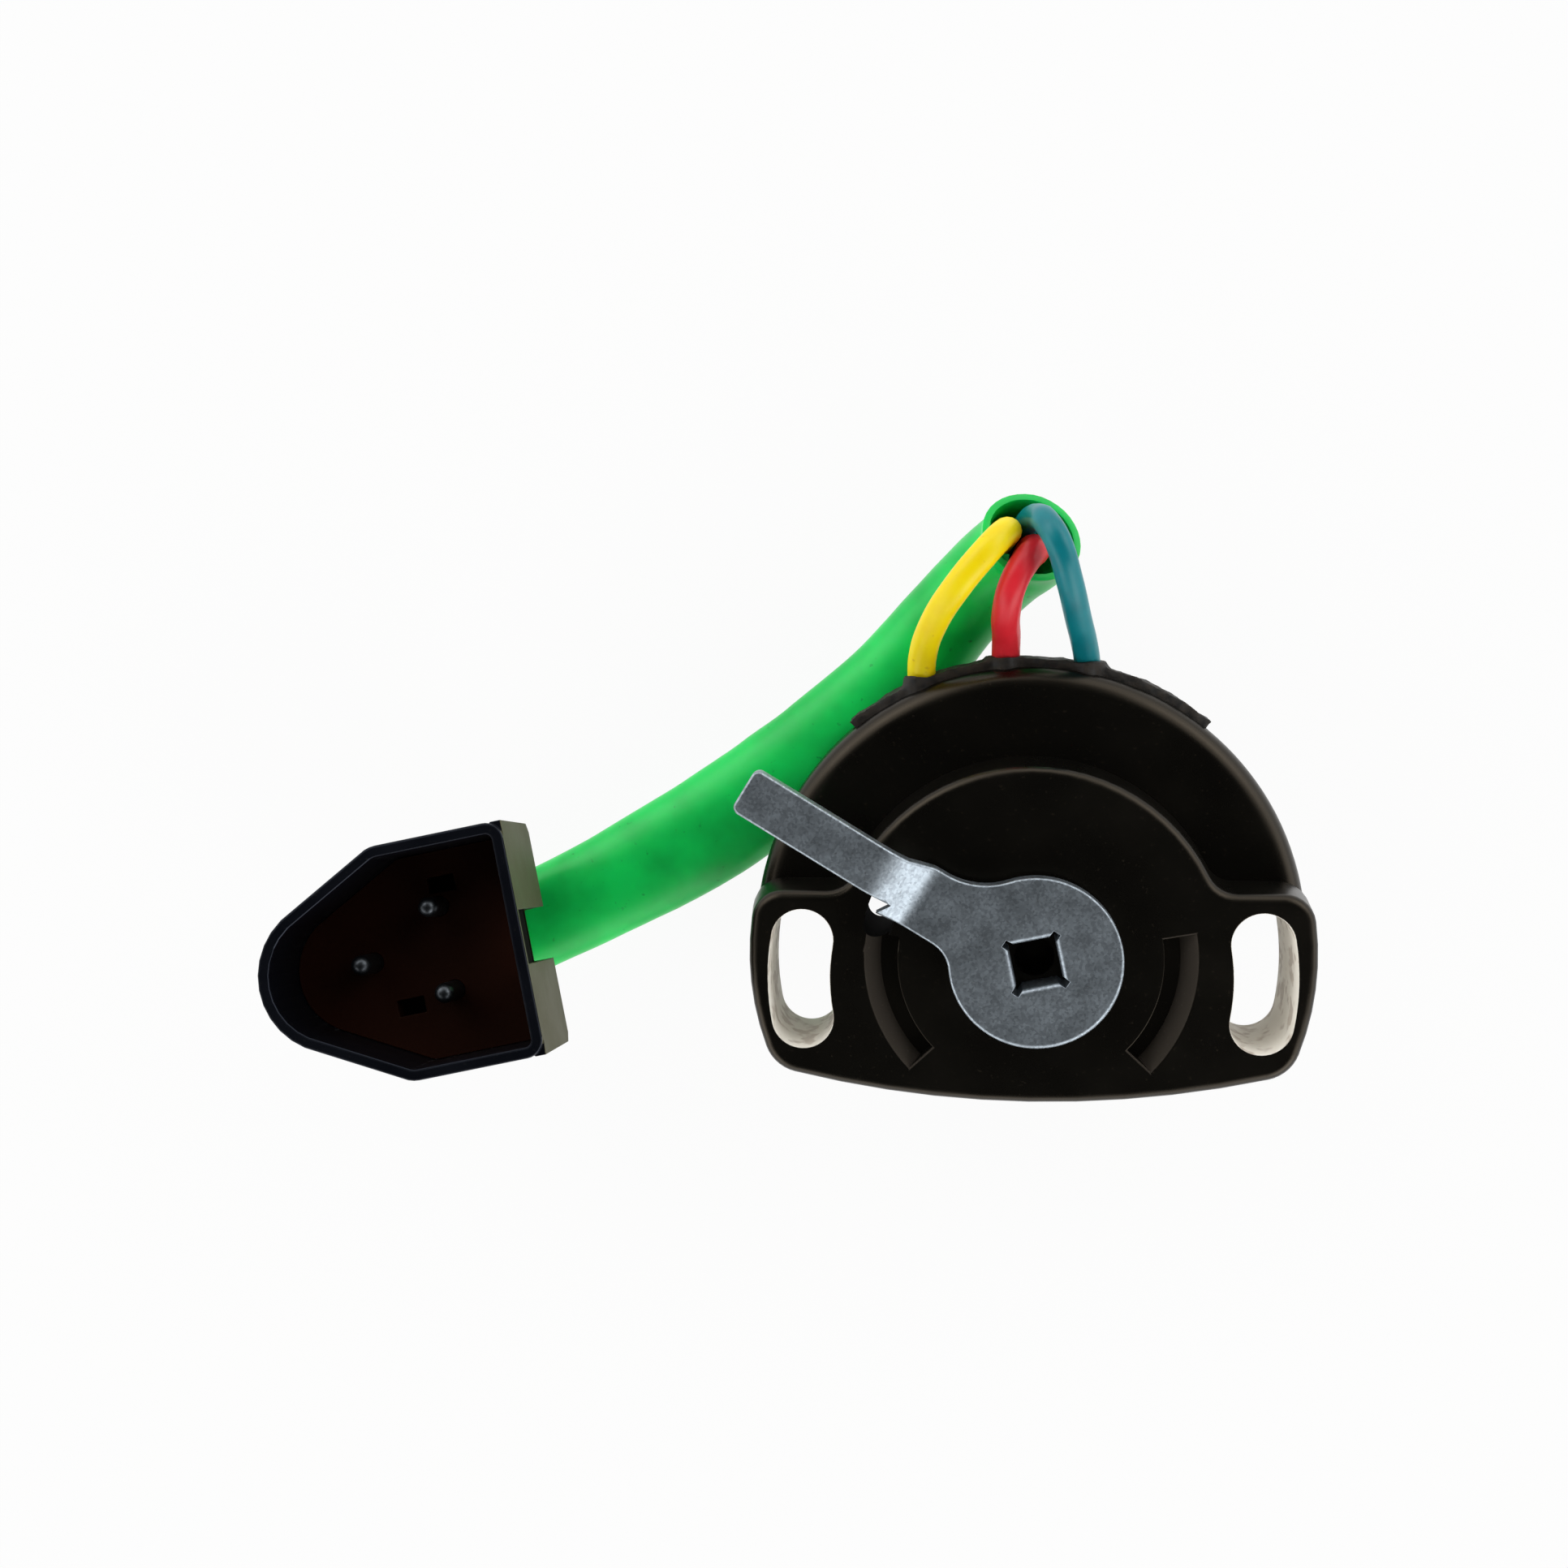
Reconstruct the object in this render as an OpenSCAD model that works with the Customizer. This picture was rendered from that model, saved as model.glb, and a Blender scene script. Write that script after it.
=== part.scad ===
// Throttle position sensor with a sprung lever, a three-wire sleeved lead and a three-pin plug.
// It lies on its back: the shaft stands on the origin along +Z, and the rear face is at z = 0.

/* [Housing] */
// Radius of the round outline of the ears
case_r = 25.3; // [24:0.1:28]
// How far the domed rim lies inside the outline of the ears
rim_inset = 0.35; // [0.1:0.05:0.8]
// How far the centre of the domed rim lies above the shaft
rim_rise = 0.5; // [0:0.1:1.5]
// Radius of the rounded front edge of the domed rim
rim_edge_r = 2; // [0.8:0.1:2.4]
// Radius of the long, nearly flat bottom edge
sole_r = 92; // [80:1:160]
// Distance from the shaft down to the bottom edge
sole_drop = 13.4; // [12:0.1:14]
// Radius of the two bottom corners
sole_corner_r = 4; // [2.5:0.1:5]
// Height of the ears' top edge above the shaft
shoulder_y = 6.4; // [5.8:0.1:7.5]
// Radius of the outer top corner of an ear
shoulder_r = 3.2; // [2:0.1:4]
// Radius of the raised round hub
hub_r = 17.6; // [17:0.1:18.5]
// Radius of the hollow fillet between the hub and an ear
hub_fillet_r = 2.4; // [1.5:0.1:3]
// Thickness of the ears
ear_t = 10; // [9:0.1:12]
// How far the crescent round the hub lies below the ears' face
crescent_drop = 5; // [4:0.1:6]
// Draft of the hub's wall, over its height
wall_draft = 0.35; // [0.1:0.05:0.6]
// Radius of the rounded edges of the ears and the hub
face_edge_r = 0.9; // [0.4:0.1:1.2]

/* [Mounting slots] */
// Radius of the curved centre line of the slots
slot_pitch_r = 20.45; // [20:0.05:21]
// Width of a slot, for an M5 screw
slot_w = 5.5; // [5.2:0.1:6]
// Half of the angle between the centres of a slot's two round ends
slot_half = 10; // [6:0.5:11]
// How far the slots' middle lies below the shaft
slot_level = 1.9; // [1:0.1:2.5]

/* [Arc recesses] */
// Inner radius of the recesses beside the hub
recess_in_r = 11.7; // [11.4:0.1:12.2]
// Radius where the recess floor meets its sloped outer wall
recess_floor_r = 13.2; // [12.8:0.1:13.6]
// Outer radius of the recesses at the face
recess_out_r = 14.6; // [14.2:0.1:15]
// Depth of the recesses
recess_depth = 1.5; // [0.8:0.1:2]
// Angle above the level line where a recess starts
recess_up = 10; // [5:1:14]
// Angle below the level line where a recess ends
recess_down = 43; // [30:1:50]
// Width of the window slot that goes right through at the upper end of the left recess
window_w = 2.6; // [2:0.1:2.8]
// Wall between the window slot and the rear boss
window_wall = 0.15; // [0.1:0.05:0.4]
// Angle from the level line up to the centre of the window's round lower end
window_from = 13; // [11:0.5:16]
// Angle from the level line up to the window's upper end
window_to = 38; // [30:1:42]

/* [Rear boss] */
// Radius of the boss behind the ears
boss_r = 12.3; // [12:0.1:12.6]
// Depth of the boss behind the ears
boss_depth = 7; // [6.8:0.1:9]
// Radius of the round chamber inside
chamber_r = 10.4; // [10.2:0.05:10.7]
// Thickness of the front wall over the chamber
front_wall = 4.5; // [4:0.1:5]
// Radius of the seat that the rear cover lies in
cover_r = 11.3; // [11.1:0.05:11.5]
// Thickness of the rear cover
cover_t = 1.6; // [1.5:0.1:2]
// Gap round the rear cover
cover_gap = 0.05; // [0.02:0.01:0.1]

/* [Potting] */
// Inner radius of the pocket behind the crescent
pocket_in_r = 13.4; // [13.2:0.1:14]
// Thickness of the crescent's front skin
skin_t = 1.6; // [1.2:0.1:2.4]
// Half of the angle that the pocket spans about the top
pocket_half = 39.5; // [36:0.5:42]
// How far the resin stands out of the rim
resin_proud = 0.9; // [0.3:0.1:1.5]
// Half of the angle of the passage that the terminals take from the chamber to the pocket
passage_half = 28; // [24:1:32]
// Room over and under the terminals in the passage
passage_room = 0.4; // [0.2:0.05:0.6]

/* [Rotor] */
// Radius of the rotor's shaft
shaft_r = 4.8; // [4.6:0.05:4.9]
// Radial running clearance of the shaft in its bush
shaft_gap = 0.05; // [0.02:0.01:0.09]
// Wall of the bush
bush_t = 1.1; // [0.9:0.1:1.3]
// Length of the bush
bush_len = 2.4; // [2:0.1:2.6]
// Thickness of the shaft seal
seal_t = 1.1; // [0.9:0.05:1.2]
// Radius of the thrust washer
washer_r = 7; // [6.6:0.1:7.2]
// Thickness of the thrust washer
washer_t = 0.6; // [0.4:0.1:0.8]
// Gap left under the lever for it to turn
lever_gap = 0.5; // [0.3:0.1:0.8]
// Radius of the rotor's flange
flange_r = 8.4; // [8:0.1:8.6]
// Thickness of the rotor's flange
flange_t = 2; // [1.6:0.1:2.2]
// How far the stop lug stands out of the flange
lug_out = 1.4; // [1.2:0.1:1.6]
// Radius of the pivot under the flange
pivot_r = 3; // [2.5:0.1:3.2]
// Depth of the pivot's blind seat in the rear cover
pivot_seat = 0.8; // [0.6:0.1:1]
// Gap between the flange and the two stops
stop_gap = 0.4; // [0.2:0.05:0.6]
// Depth of the blind bore in the shaft, under the lever's tabs
drive_bore = 4; // [2:0.5:5]
// Full turn of the lever, in degrees
travel = 95; // [80:1:100]

/* [Lever] */
// Radius of the lever's disc
disc_r = 7.6; // [7.2:0.1:8]
// How far the lever was pressed on off the shaft's axis, towards the right ear
lever_off_x = 0.4; // [0:0.1:0.5]
// How far the lever was pressed on off the shaft's axis, towards the wires
lever_off_y = 0.3; // [0:0.1:0.5]
// Thickness of the lever's sheet
sheet_t = 1.5; // [1.2:0.1:1.8]
// Reach of the arm from the middle of the disc
arm_reach = 29.5; // [27:0.1:31]
// Width of the arm
arm_w = 4.25; // [3.8:0.05:4.6]
// Half width of the neck on the side of the sole
neck_low = 3.3; // [2.8:0.1:3.5]
// Half width of the neck on the side of the wires
neck_high = 2.6; // [2.4:0.1:3]
// Distance from the middle of the disc to the neck's sharp lower corner
neck_end = 14.2; // [13.8:0.1:15]
// How far the neck's lower corner overhangs the step to the arm
neck_hook = 0.8; // [0.4:0.1:1.2]
// Radius of the hollow fillet between the disc and the neck, on the side of the sole
low_fillet_r = 3; // [2:0.5:4]
// Radius of the hollow fillet between the disc and the neck, on the side of the wires
high_fillet_r = 6.5; // [5:0.5:7]
// Distance from the middle of the disc to the start of the first bend
joggle_at = 10.95; // [10.5:0.05:11.5]
// How far the two bends raise the arm
joggle_rise = 2.2; // [1.8:0.1:3]
// Angle of the sheet between the two bends
joggle_turn = 30.5; // [27:0.5:36]
// Radius of the first bend, along the middle of the sheet
low_bend_r = 3.5; // [2.5:0.1:3.8]
// Radius of the second bend, along the middle of the sheet
high_bend_r = 5; // [3.5:0.1:5.4]
// Radius of the corners at the tip
tip_r = 0.7; // [0.3:0.1:1.2]
// Angle of the arm from +X at rest
arm_angle = 148.3; // [140:0.1:155]
// Side of the square hole between the lever's four tabs
hub_hole = 4.1; // [3.8:0.1:4.4]
// Thickness of the four tabs that are bent down into the shaft
tab_t = 0.65; // [0.5:0.05:0.8]
// Length of the tabs below the sheet
tab_len = 1.6; // [1.2:0.1:2]
// Width of the relief slits at the hole's corners
slit_w = 0.7; // [0.4:0.1:0.9]
// Length of the relief slits beyond the hole's corners
slit_len = 0.4; // [0.3:0.1:0.8]
// Angle of the square hole from the X axis, at rest
hub_hole_angle = 12; // [0:1:20]

/* [Return spring] */
// Mean radius of the coil
spring_r = 6.2; // [5.9:0.05:6.3]
// Radius of the spring wire
spring_wire_r = 0.4; // [0.3:0.05:0.5]
// Turns of the coil
spring_turns = 4; // [3:0.5:5]
// Rise of the coil in one turn
spring_pitch = 1.2; // [1.1:0.05:1.25]
// How far the spring's lower leg ends from the axis
spring_foot = 7.75; // [7.2:0.05:8]
// How far the spring's upper leg ends from the axis
spring_head = 8.7; // [8:0.1:9.4]

/* [Track and contacts] */
// Thickness of the resistor track board
board_t = 0.8; // [0.6:0.1:1]
// Gap between the edge of the board and the chamber
board_gap = 0.2; // [0.1:0.05:0.3]
// Gap between the board and the wiper
wiper_gap = 0.15; // [0.1:0.05:0.2]
// Thickness of the wiper
wiper_t = 0.5; // [0.4:0.05:0.7]
// Width of the wiper's ring round the pivot
wiper_ring_w = 2.7; // [2.2:0.1:3]
// Length of a wiper arm across the track
wiper_reach = 2.6; // [2:0.1:2.8]
// Distance between neighbouring terminals at the board
terminal_pitch = 2.5; // [2.2:0.1:2.6]
// Width of a terminal strip
terminal_w = 1.1; // [0.8:0.1:1.2]
// Thickness of a terminal strip
terminal_t = 0.4; // [0.3:0.05:0.5]

/* [Lead] */
// Radius of each of the three wires
wire_r = 1.25; // [1:0.05:1.3]
// Wall of the green sleeve
sleeve_wall = 0.6; // [0.4:0.05:0.7]

/* [Plug] */
// Depth of the plug's shell
plug_depth = 13.5; // [12:0.1:15]
// Wall of the plug's shell
plug_wall = 1; // [0.8:0.1:1.2]
// Half of the plug's height, across its flat side
plug_half_h = 10.4; // [10:0.1:11]
// Radius of the corners beside the flat side
plug_corner_r = 1.6; // [1.2:0.1:2]
// Distance from the flat side to the shoulders
plug_shoulder_x = 11.2; // [10.5:0.1:12]
// Radius of the shoulders
plug_shoulder_r = 2.6; // [2:0.1:3]
// Distance from the flat side to the centre of the round nose
plug_nose_x = 16.8; // [16:0.1:17.6]
// Radius of the round nose
plug_nose_r = 6.8; // [6.4:0.1:7.2]
// Depth of the insert's face below the mouth
insert_drop = 8.5; // [7:0.1:10]
// How far the insert stands out of the back of the shell
insert_out = 1.5; // [1:0.1:2]
// Gap round the insert
insert_gap = 0.05; // [0.02:0.01:0.1]
// Radius of a pin
pin_r = 0.9; // [0.7:0.05:1.1]
// How far the pins stand out of the insert's face
pin_out = 5; // [4:0.1:6]
// Half of the height of the notch in the flat side
notch_half = 2.45; // [2:0.05:3]
// Depth of the wall that is left over the notch
notch_lip = 3.6; // [3:0.1:5]
// Gap between the mouth's edge and the square plate of the flat side
flange_step = 0.5; // [0.3:0.1:1]
// Size of the chamfer at the back corners of the flat side
flange_chamfer = 0.8; // [0.5:0.1:1.2]
// Depth of the recess in the insert behind the notch, from the flat side
latch_recess = 2.1; // [1.5:0.1:3]
// Depth of the wire bores in the back of the insert
wire_bore = 3; // [2:0.1:4]
// Radius of a wire seal
seal_r = 1.9; // [1.8:0.05:2]
// Length of a wire seal behind the insert
seal_len = 1; // [0.6:0.1:1.4]

/* [Hidden] */

black_plastic = [0.09, 0.09, 0.085];
resin_brown = [0.16, 0.13, 0.10];
brass = [0.78, 0.65, 0.35];
zinc = [0.62, 0.64, 0.68];
spring_steel = [0.5, 0.5, 0.5];
rubber_black = [0.12, 0.12, 0.12];
nylon_white = [0.88, 0.87, 0.82];
board_green = [0.25, 0.32, 0.22];
wire_yellow = [0.96, 0.85, 0.10];
wire_red = [0.82, 0.20, 0.24];
wire_teal = [0.12, 0.50, 0.55];
sleeve_green = [0.08, 0.70, 0.28];
insert_brown = [0.17, 0.06, 0.03];
rubber_grey = [0.35, 0.36, 0.36];

fine = 120;
round_fn = 48;
small_fn = 24;
cut = 1;
bite = 0.3;

// Heights along the shaft, from the rear face up
face_z = boss_depth + ear_t;
crescent_z = face_z - crescent_drop;
chamber_z = face_z - front_wall;
pocket_z = crescent_z - skin_t;
rim_r = case_r - rim_inset;
sheet_z = face_z + washer_t + lever_gap;
board_z = cover_t;
wiper_z = board_z + board_t + wiper_gap;
flange_z = wiper_z + wiper_t;
spring_z = flange_z + flange_t + bite / 2 + spring_wire_r;
seal_groove_z = chamber_z + bush_len;

// Centres of the arcs that round the outline of the ears
corner_y = corner_height();
corner_x = sqrt(pow(case_r - sole_corner_r, 2) - pow(corner_y, 2));
shoulder_x = sqrt(pow(case_r - shoulder_r, 2) - pow(shoulder_y - shoulder_r, 2));
fillet_y = shoulder_y + hub_fillet_r;
fillet_x = sqrt(pow(hub_r + hub_fillet_r, 2) - pow(fillet_y, 2));
sole_centre_y = sole_r - sole_drop;

// The stop lug's middle at rest, and the stops at both ends of its travel
lug_angle = 300;
lug_half = 10;
lug_bite = 1;
stop_arc = 14;
stop_slack = 0.6;
wiper_arm_arc = 14;
wiper_slit = [1.8, 1.5];

// Where the plug stands: the middle of its flat side at the mouth, and how it leans
plug_at = [-44, 3, 23];
plug_lean = [-10.5, 3, 0];
plug_spin = 11.5;
pin_places = [[-8.6, 4.3], [-8.6, -3.5], [-15.5, 0.4]];
core_slots = [[-8, 6.3], [-12.8, -4.2]];
core_slot = [2.5, 1.5, 3];

// The middle of the wires where they leave the resin
wire_exit_x = [-9.7, -2.1, 5.2];
wire_z = 9;
wire_start_y = 17.6;
terminal_inset = 0.75;

// The sleeve's centre line, with half of its width and half of its height at each point
sleeve_route = [
    [-49.5, -0.7, 3.15], [-46.4, 0.7, 3.15], [-42.9, 2.3, 3.15], [-38.9, 4.35, 3.15],
    [-34.9, 6.6, 3.15], [-30.9, 8.9, 3.15], [-27, 11.5, 3.15], [-23.3, 14.1, 3.15],
    [-19.6, 16.9, 3.15], [-16.1, 19.9, 3.2], [-12.7, 23.1, 3.3], [-9.6, 26.5, 3.45],
    [-6.8, 29.9, 3.85], [-4.3, 32.6, 4.6], [-2.2, 34.6, 6.1], [-0.5, 36, 7.9], [0.1, 37, 9.9]];
sleeve_half_w = [5, 4.9, 4.95, 5.05, 5.2, 5.3, 5.25, 5.2, 5.1, 4.95, 4.8, 4.6, 4.4, 4.35, 4.35, 4.35, 4.4];
sleeve_half_h = [3.1, 3.1, 3.1, 3.1, 3.1, 3.1, 3.1, 3.1, 3.1, 3.15, 3.25, 3.4, 3.65, 3.85, 4, 4.1, 4.2];
sleeve_sides = 12;

// The wires' centre lines, from inside the resin to the back of the plug
yellow_route = [
    [-9.7, 17.6, 9], [-9.7, 24.2, 9], [-9.6, 26.3, 9.9], [-8.6, 29.4, 12.3], [-6.4, 32.9, 14.6],
    [-3.9, 35.9, 14.7], [-2.6, 37.2, 13.2], [-2.1, 37.5, 11.2], [-2.2, 37.3, 9.6], [-3.1, 36.2, 7.7],
    [-5.7, 33.7, 5.3], [-8.3, 31.1, 4.4], [-14.3, 24.8, 3.4], [-21.2, 18.9, 3],
    [-28.5, 13.6, 2.8], [-36.2, 8.9, 2.8], [-44, 4.6, 2.7], [-49, 2.3, 2.6], [-51.4, 1.8, 3.1],
    [-53.4, 1.9, 4.8], [-54.1, 2.4, 7], [-53.9, 3.2, 10.8]];
red_route = [
    [-2.1, 17.6, 9], [-2.1, 26.1, 9], [-2.1, 28.2, 10.2], [-2.1, 30.4, 11.9], [-1.5, 33.3, 13.4],
    [-0.3, 35.1, 13.2], [0.3, 35.7, 11.9], [0, 35.5, 10.3], [-1.1, 34.3, 7.5], [-3.5, 31.7, 4.9],
    [-5.6, 28.8, 4.2], [-11.1, 21.5, 3.3], [-18, 15, 3],
    [-25.5, 9.4, 2.8], [-33.6, 4.3, 2.8], [-41.8, 0, 2.7], [-47.5, -2.6, 2.7], [-49.7, -3.9, 3.1],
    [-51.4, -4.9, 4.6], [-52.5, -5.3, 6.9], [-52.3, -4.4, 12.1]];
teal_route = [
    [5.2, 17.6, 9], [5.2, 25.6, 9], [4.9, 27.6, 10.4], [4.5, 29.6, 12.2], [3.6, 33.6, 15],
    [2.6, 36.7, 15.9], [1.6, 38.4, 14.4], [0.9, 38.9, 12], [0, 38.5, 9.1], [-1.1, 36.7, 5.7],
    [-4.3, 33.3, 3.1], [-6.8, 30.2, 2.5], [-12.7, 23.1, 2.2], [-19.6, 16.9, 2.4],
    [-27, 11.5, 2.6], [-34.9, 6.6, 2.6], [-42.9, 2.3, 2.5], [-47.5, 0.2, 2.3], [-54, -2.1, 2.1],
    [-57.3, -3, 3], [-59.4, -3.2, 5.2], [-60.1, -2.8, 7.6], [-59.9, -1.9, 12]];

function corner_height() =
    let (d = sole_r - sole_drop, a = case_r - sole_corner_r, b = sole_r - sole_corner_r)
    (a * a - b * b + d * d) / (2 * d);
function arc(c, r, from, to, n) =
    [for (i = [0 : n]) c + r * [cos(from + (to - from) * i / n), sin(from + (to - from) * i / n)]];
function unit(v) = v / norm(v);
function swap(p) = [for (i = [len(p) - 1 : -1 : 0]) [-p[i][0], p[i][1]]];
function inner(p) = [for (i = [1 : len(p) - 2]) p[i]];

// The centre of a neck's fillet, and the point where it leaves the disc
function neck_side(half_w, r) =
    let (y = half_w + r, x = sqrt(pow(disc_r + r, 2) - pow(y, 2)))
    [[x, y], disc_r / (disc_r + r) * [x, y]];

// The right half of the ears' outline, from the middle of the bottom up to the top of the hub
function ear_half(inset) =
    let (
        corner = [corner_x, corner_y],
        sole_side = atan2(corner_y - sole_centre_y, corner_x) + 360,
        corner_side = atan2(corner_y, corner_x),
        shoulder_side = atan2(shoulder_y - shoulder_r, shoulder_x),
        fillet_side = atan2(fillet_y, fillet_x))
    concat(
        arc([0, sole_centre_y], sole_r - inset, 270, sole_side, 5),
        arc(corner, sole_corner_r - inset, sole_side, corner_side + 360, 7),
        arc([0, 0], case_r - inset, corner_side, shoulder_side, 6),
        arc([shoulder_x, shoulder_y - shoulder_r], shoulder_r - inset, shoulder_side, 90, 7),
        arc([fillet_x, fillet_y], hub_fillet_r + inset, 270, 180 + fillet_side, 6),
        arc([0, 0], hub_r - inset, fillet_side, 90, 12));
function ear_loop(inset) = let (half = ear_half(inset)) concat(half, inner(swap(half)));

// The draft and the rounded edge of a wall, as pairs of inset and height
function wall_rings() = concat(
    [[0, boss_depth], [0, crescent_z]],
    [for (i = [0 : 4]) let (a = 90 * i / 4)
        [wall_draft + face_edge_r * (1 - cos(a)), face_z - face_edge_r * (1 - sin(a))]]);

// Sweeps along a line: each ring's frame follows the one before without twisting
function tangents(p) =
    [for (i = [0 : len(p) - 1]) unit(p[min(i + 1, len(p) - 1)] - p[max(i - 1, 0)])];
function next_normal(n, t) = unit(n - (n * t) * t);
function normals(t, i, n) =
    i == len(t) ? [] : let (m = next_normal(n, t[i])) concat([m], normals(t, i + 1, m));
function ring(c, n, b, half_n, half_b, sides) =
    [for (k = [0 : sides - 1]) let (a = 360 * (k + 0.5) / sides)
        c + half_n * cos(a) * n + half_b * sin(a) * b];

module skin(rings, closed) {
    sides = len(rings[0]);
    count = len(rings);
    walls = [for (i = [0 : count - (closed ? 1 : 2)]) for (k = [0 : sides - 1])
        let (j = (i + 1) % count, m = (k + 1) % sides)
        [i * sides + k, j * sides + k, j * sides + m, i * sides + m]];
    first = [for (k = [0 : sides - 1]) k];
    last = [for (k = [sides - 1 : -1 : 0]) (count - 1) * sides + k];
    polyhedron(
        points = [for (r = rings) each r],
        faces = closed ? walls : concat(walls, [first, last]),
        convexity = 6);
}

module tube(line, r, sides) {
    t = tangents(line);
    n = normals(t, 0, unit(cross(t[0], [0.1, 0.2, 1])));
    skin([for (i = [0 : len(line) - 1]) ring(line[i], n[i], cross(t[i], n[i]), r, r, sides)], false);
}

module sector(inner_r, outer_r, from, to, z0, z1) {
    translate([0, 0, z0])
        rotate([0, 0, from])
            rotate_extrude(angle = to - from, $fn = fine)
                translate([inner_r, 0])
                    square([outer_r - inner_r, z1 - z0]);
}

module post(r, z0, z1, sides = round_fn) {
    translate([0, 0, z0])
        cylinder(h = z1 - z0, r = r, $fn = sides);
}

module washer_ring(inner_r, outer_r, z0, z1) {
    difference() {
        post(outer_r, z0, z1, fine);
        post(inner_r, z0 - cut, z1 + cut, fine);
    }
}

// The ears and the hub rise as one wall with draft and a rounded edge
module ear_block() {
    skin([for (w = wall_rings()) [for (p = ear_loop(w[0])) [p[0], p[1], w[1]]]], false);
}

// The domed rim is turned, with a rounded front edge, and kept above the shaft's level
module dome() {
    intersection() {
        translate([0, rim_rise, 0])
            rotate_extrude($fn = fine)
                union() {
                    translate([0, boss_depth])
                        square([rim_r, crescent_z - boss_depth - rim_edge_r]);
                    translate([0, boss_depth])
                        square([rim_r - rim_edge_r, crescent_z - boss_depth]);
                    translate([rim_r - rim_edge_r, crescent_z - rim_edge_r])
                        circle(r = rim_edge_r, $fn = round_fn);
                }
        translate([-case_r - cut, cut, boss_depth - cut])
            cube([2 * (case_r + cut), case_r + cut, ear_t + 2 * cut]);
    }
}

module ear_slot(side) {
    z0 = boss_depth - cut;
    z1 = face_z + cut;
    mirror([side < 0 ? 1 : 0, 0, 0])
        translate([0, -slot_level, 0]) {
            sector(slot_pitch_r - slot_w / 2, slot_pitch_r + slot_w / 2, -slot_half, slot_half, z0, z1);
            for (a = [-slot_half, slot_half])
                rotate([0, 0, a])
                    translate([slot_pitch_r, 0, z0])
                        cylinder(h = z1 - z0, r = slot_w / 2, $fn = round_fn);
        }
}

module arc_recess(side) {
    mirror([side < 0 ? 1 : 0, 0, 0])
        translate([0, 0, face_z])
            rotate([0, 0, -recess_down])
                rotate_extrude(angle = recess_up + recess_down, $fn = fine)
                    polygon([[recess_in_r, -recess_depth], [recess_floor_r, -recess_depth],
                        [recess_out_r, 0], [recess_out_r, cut], [recess_in_r, cut]]);
}

module left_window() {
    inner_r = boss_r + window_wall;
    sector(inner_r, inner_r + window_w, 180 - window_to, 180 - window_from, boss_depth - cut, face_z + cut);
    rotate([0, 0, 180 - window_from])
        translate([inner_r + window_w / 2, 0, boss_depth - cut])
            cylinder(h = ear_t + 2 * cut, r = window_w / 2, $fn = round_fn);
}

module pocket(outer_r, z0, z1) {
    translate([0, rim_rise, 0])
        sector(pocket_in_r, outer_r, 90 - pocket_half, 90 + pocket_half, z0, z1);
}

module stops() {
    for (a = [lug_angle + lug_half + stop_slack, lug_angle - lug_half - travel - stop_slack - stop_arc])
        sector(flange_r + stop_gap, chamber_r + bite, a, a + stop_arc, flange_z, chamber_z + bite);
}

module chamber() {
    difference() {
        post(chamber_r, -cut, chamber_z, fine);
        stops();
    }
    post(cover_r, -cut, cover_t, fine);
    post(shaft_r + shaft_gap + bush_t, chamber_z - cut, face_z + cut, fine);
    sector(chamber_r - 2 * bite, pocket_in_r + 2 * bite, 90 - passage_half, 90 + passage_half,
        terminal_top() - terminal_t - passage_room, terminal_top() + passage_room);
}

module housing() {
    color(black_plastic)
        difference() {
            union() {
                ear_block();
                dome();
                post(boss_r, 0, boss_depth + cut, fine);
            }
            chamber();
            for (side = [-1, 1]) {
                ear_slot(side);
                arc_recess(side);
            }
            left_window();
            pocket(rim_r + rim_rise + cut, boss_depth - cut, pocket_z);
        }
}

module rear_cover() {
    color(black_plastic)
        difference() {
            post(cover_r - cover_gap, 0, cover_t, fine);
            post(pivot_r + shaft_gap, cover_t - pivot_seat, cover_t + cut, fine);
        }
}

function terminal_top() = wire_z;
function terminal_y() = chamber_r - terminal_inset;

// A terminal rises from the board along the chamber's wall and fans out to its wire
module terminal(i) {
    x0 = (i - 1) * terminal_pitch;
    y0 = terminal_y();
    x1 = wire_exit_x[i];
    reach = [x1 - x0, wire_start_y - y0];
    color(brass) {
        translate([x0 - terminal_w / 2, y0 - terminal_t / 2, board_z + board_t])
            cube([terminal_w, terminal_t, terminal_top() - board_z - board_t]);
        translate([x0, y0, terminal_top() - terminal_t])
            rotate([0, 0, atan2(reach[1], reach[0])])
                translate([0, -terminal_w / 2, 0])
                    cube([norm(reach) - terminal_w / 2, terminal_w, terminal_t]);
    }
}

module potting() {
    color(resin_brown)
        difference() {
            pocket(rim_r + resin_proud, boss_depth, pocket_z);
            for (i = [0 : 2]) {
                terminal(i);
                translate([wire_exit_x[i], wire_start_y, wire_z])
                    rotate([-90, 0, 0])
                        cylinder(h = case_r, r = wire_r, $fn = round_fn);
            }
        }
}

module shaft_bush() {
    color(brass)
        washer_ring(shaft_r + shaft_gap, shaft_r + shaft_gap + bush_t, chamber_z, seal_groove_z);
}

module shaft_seal() {
    seal_mid = shaft_r + shaft_gap + bush_t / 2;
    color(rubber_black)
        translate([0, 0, seal_groove_z + seal_t / 2])
            rotate_extrude($fn = fine)
                translate([seal_mid, 0])
                    circle(d = min(seal_t, bush_t), $fn = small_fn);
}

module thrust_washer() {
    color(nylon_white)
        washer_ring(shaft_r + 2 * shaft_gap, washer_r, face_z, face_z + washer_t);
}

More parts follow.
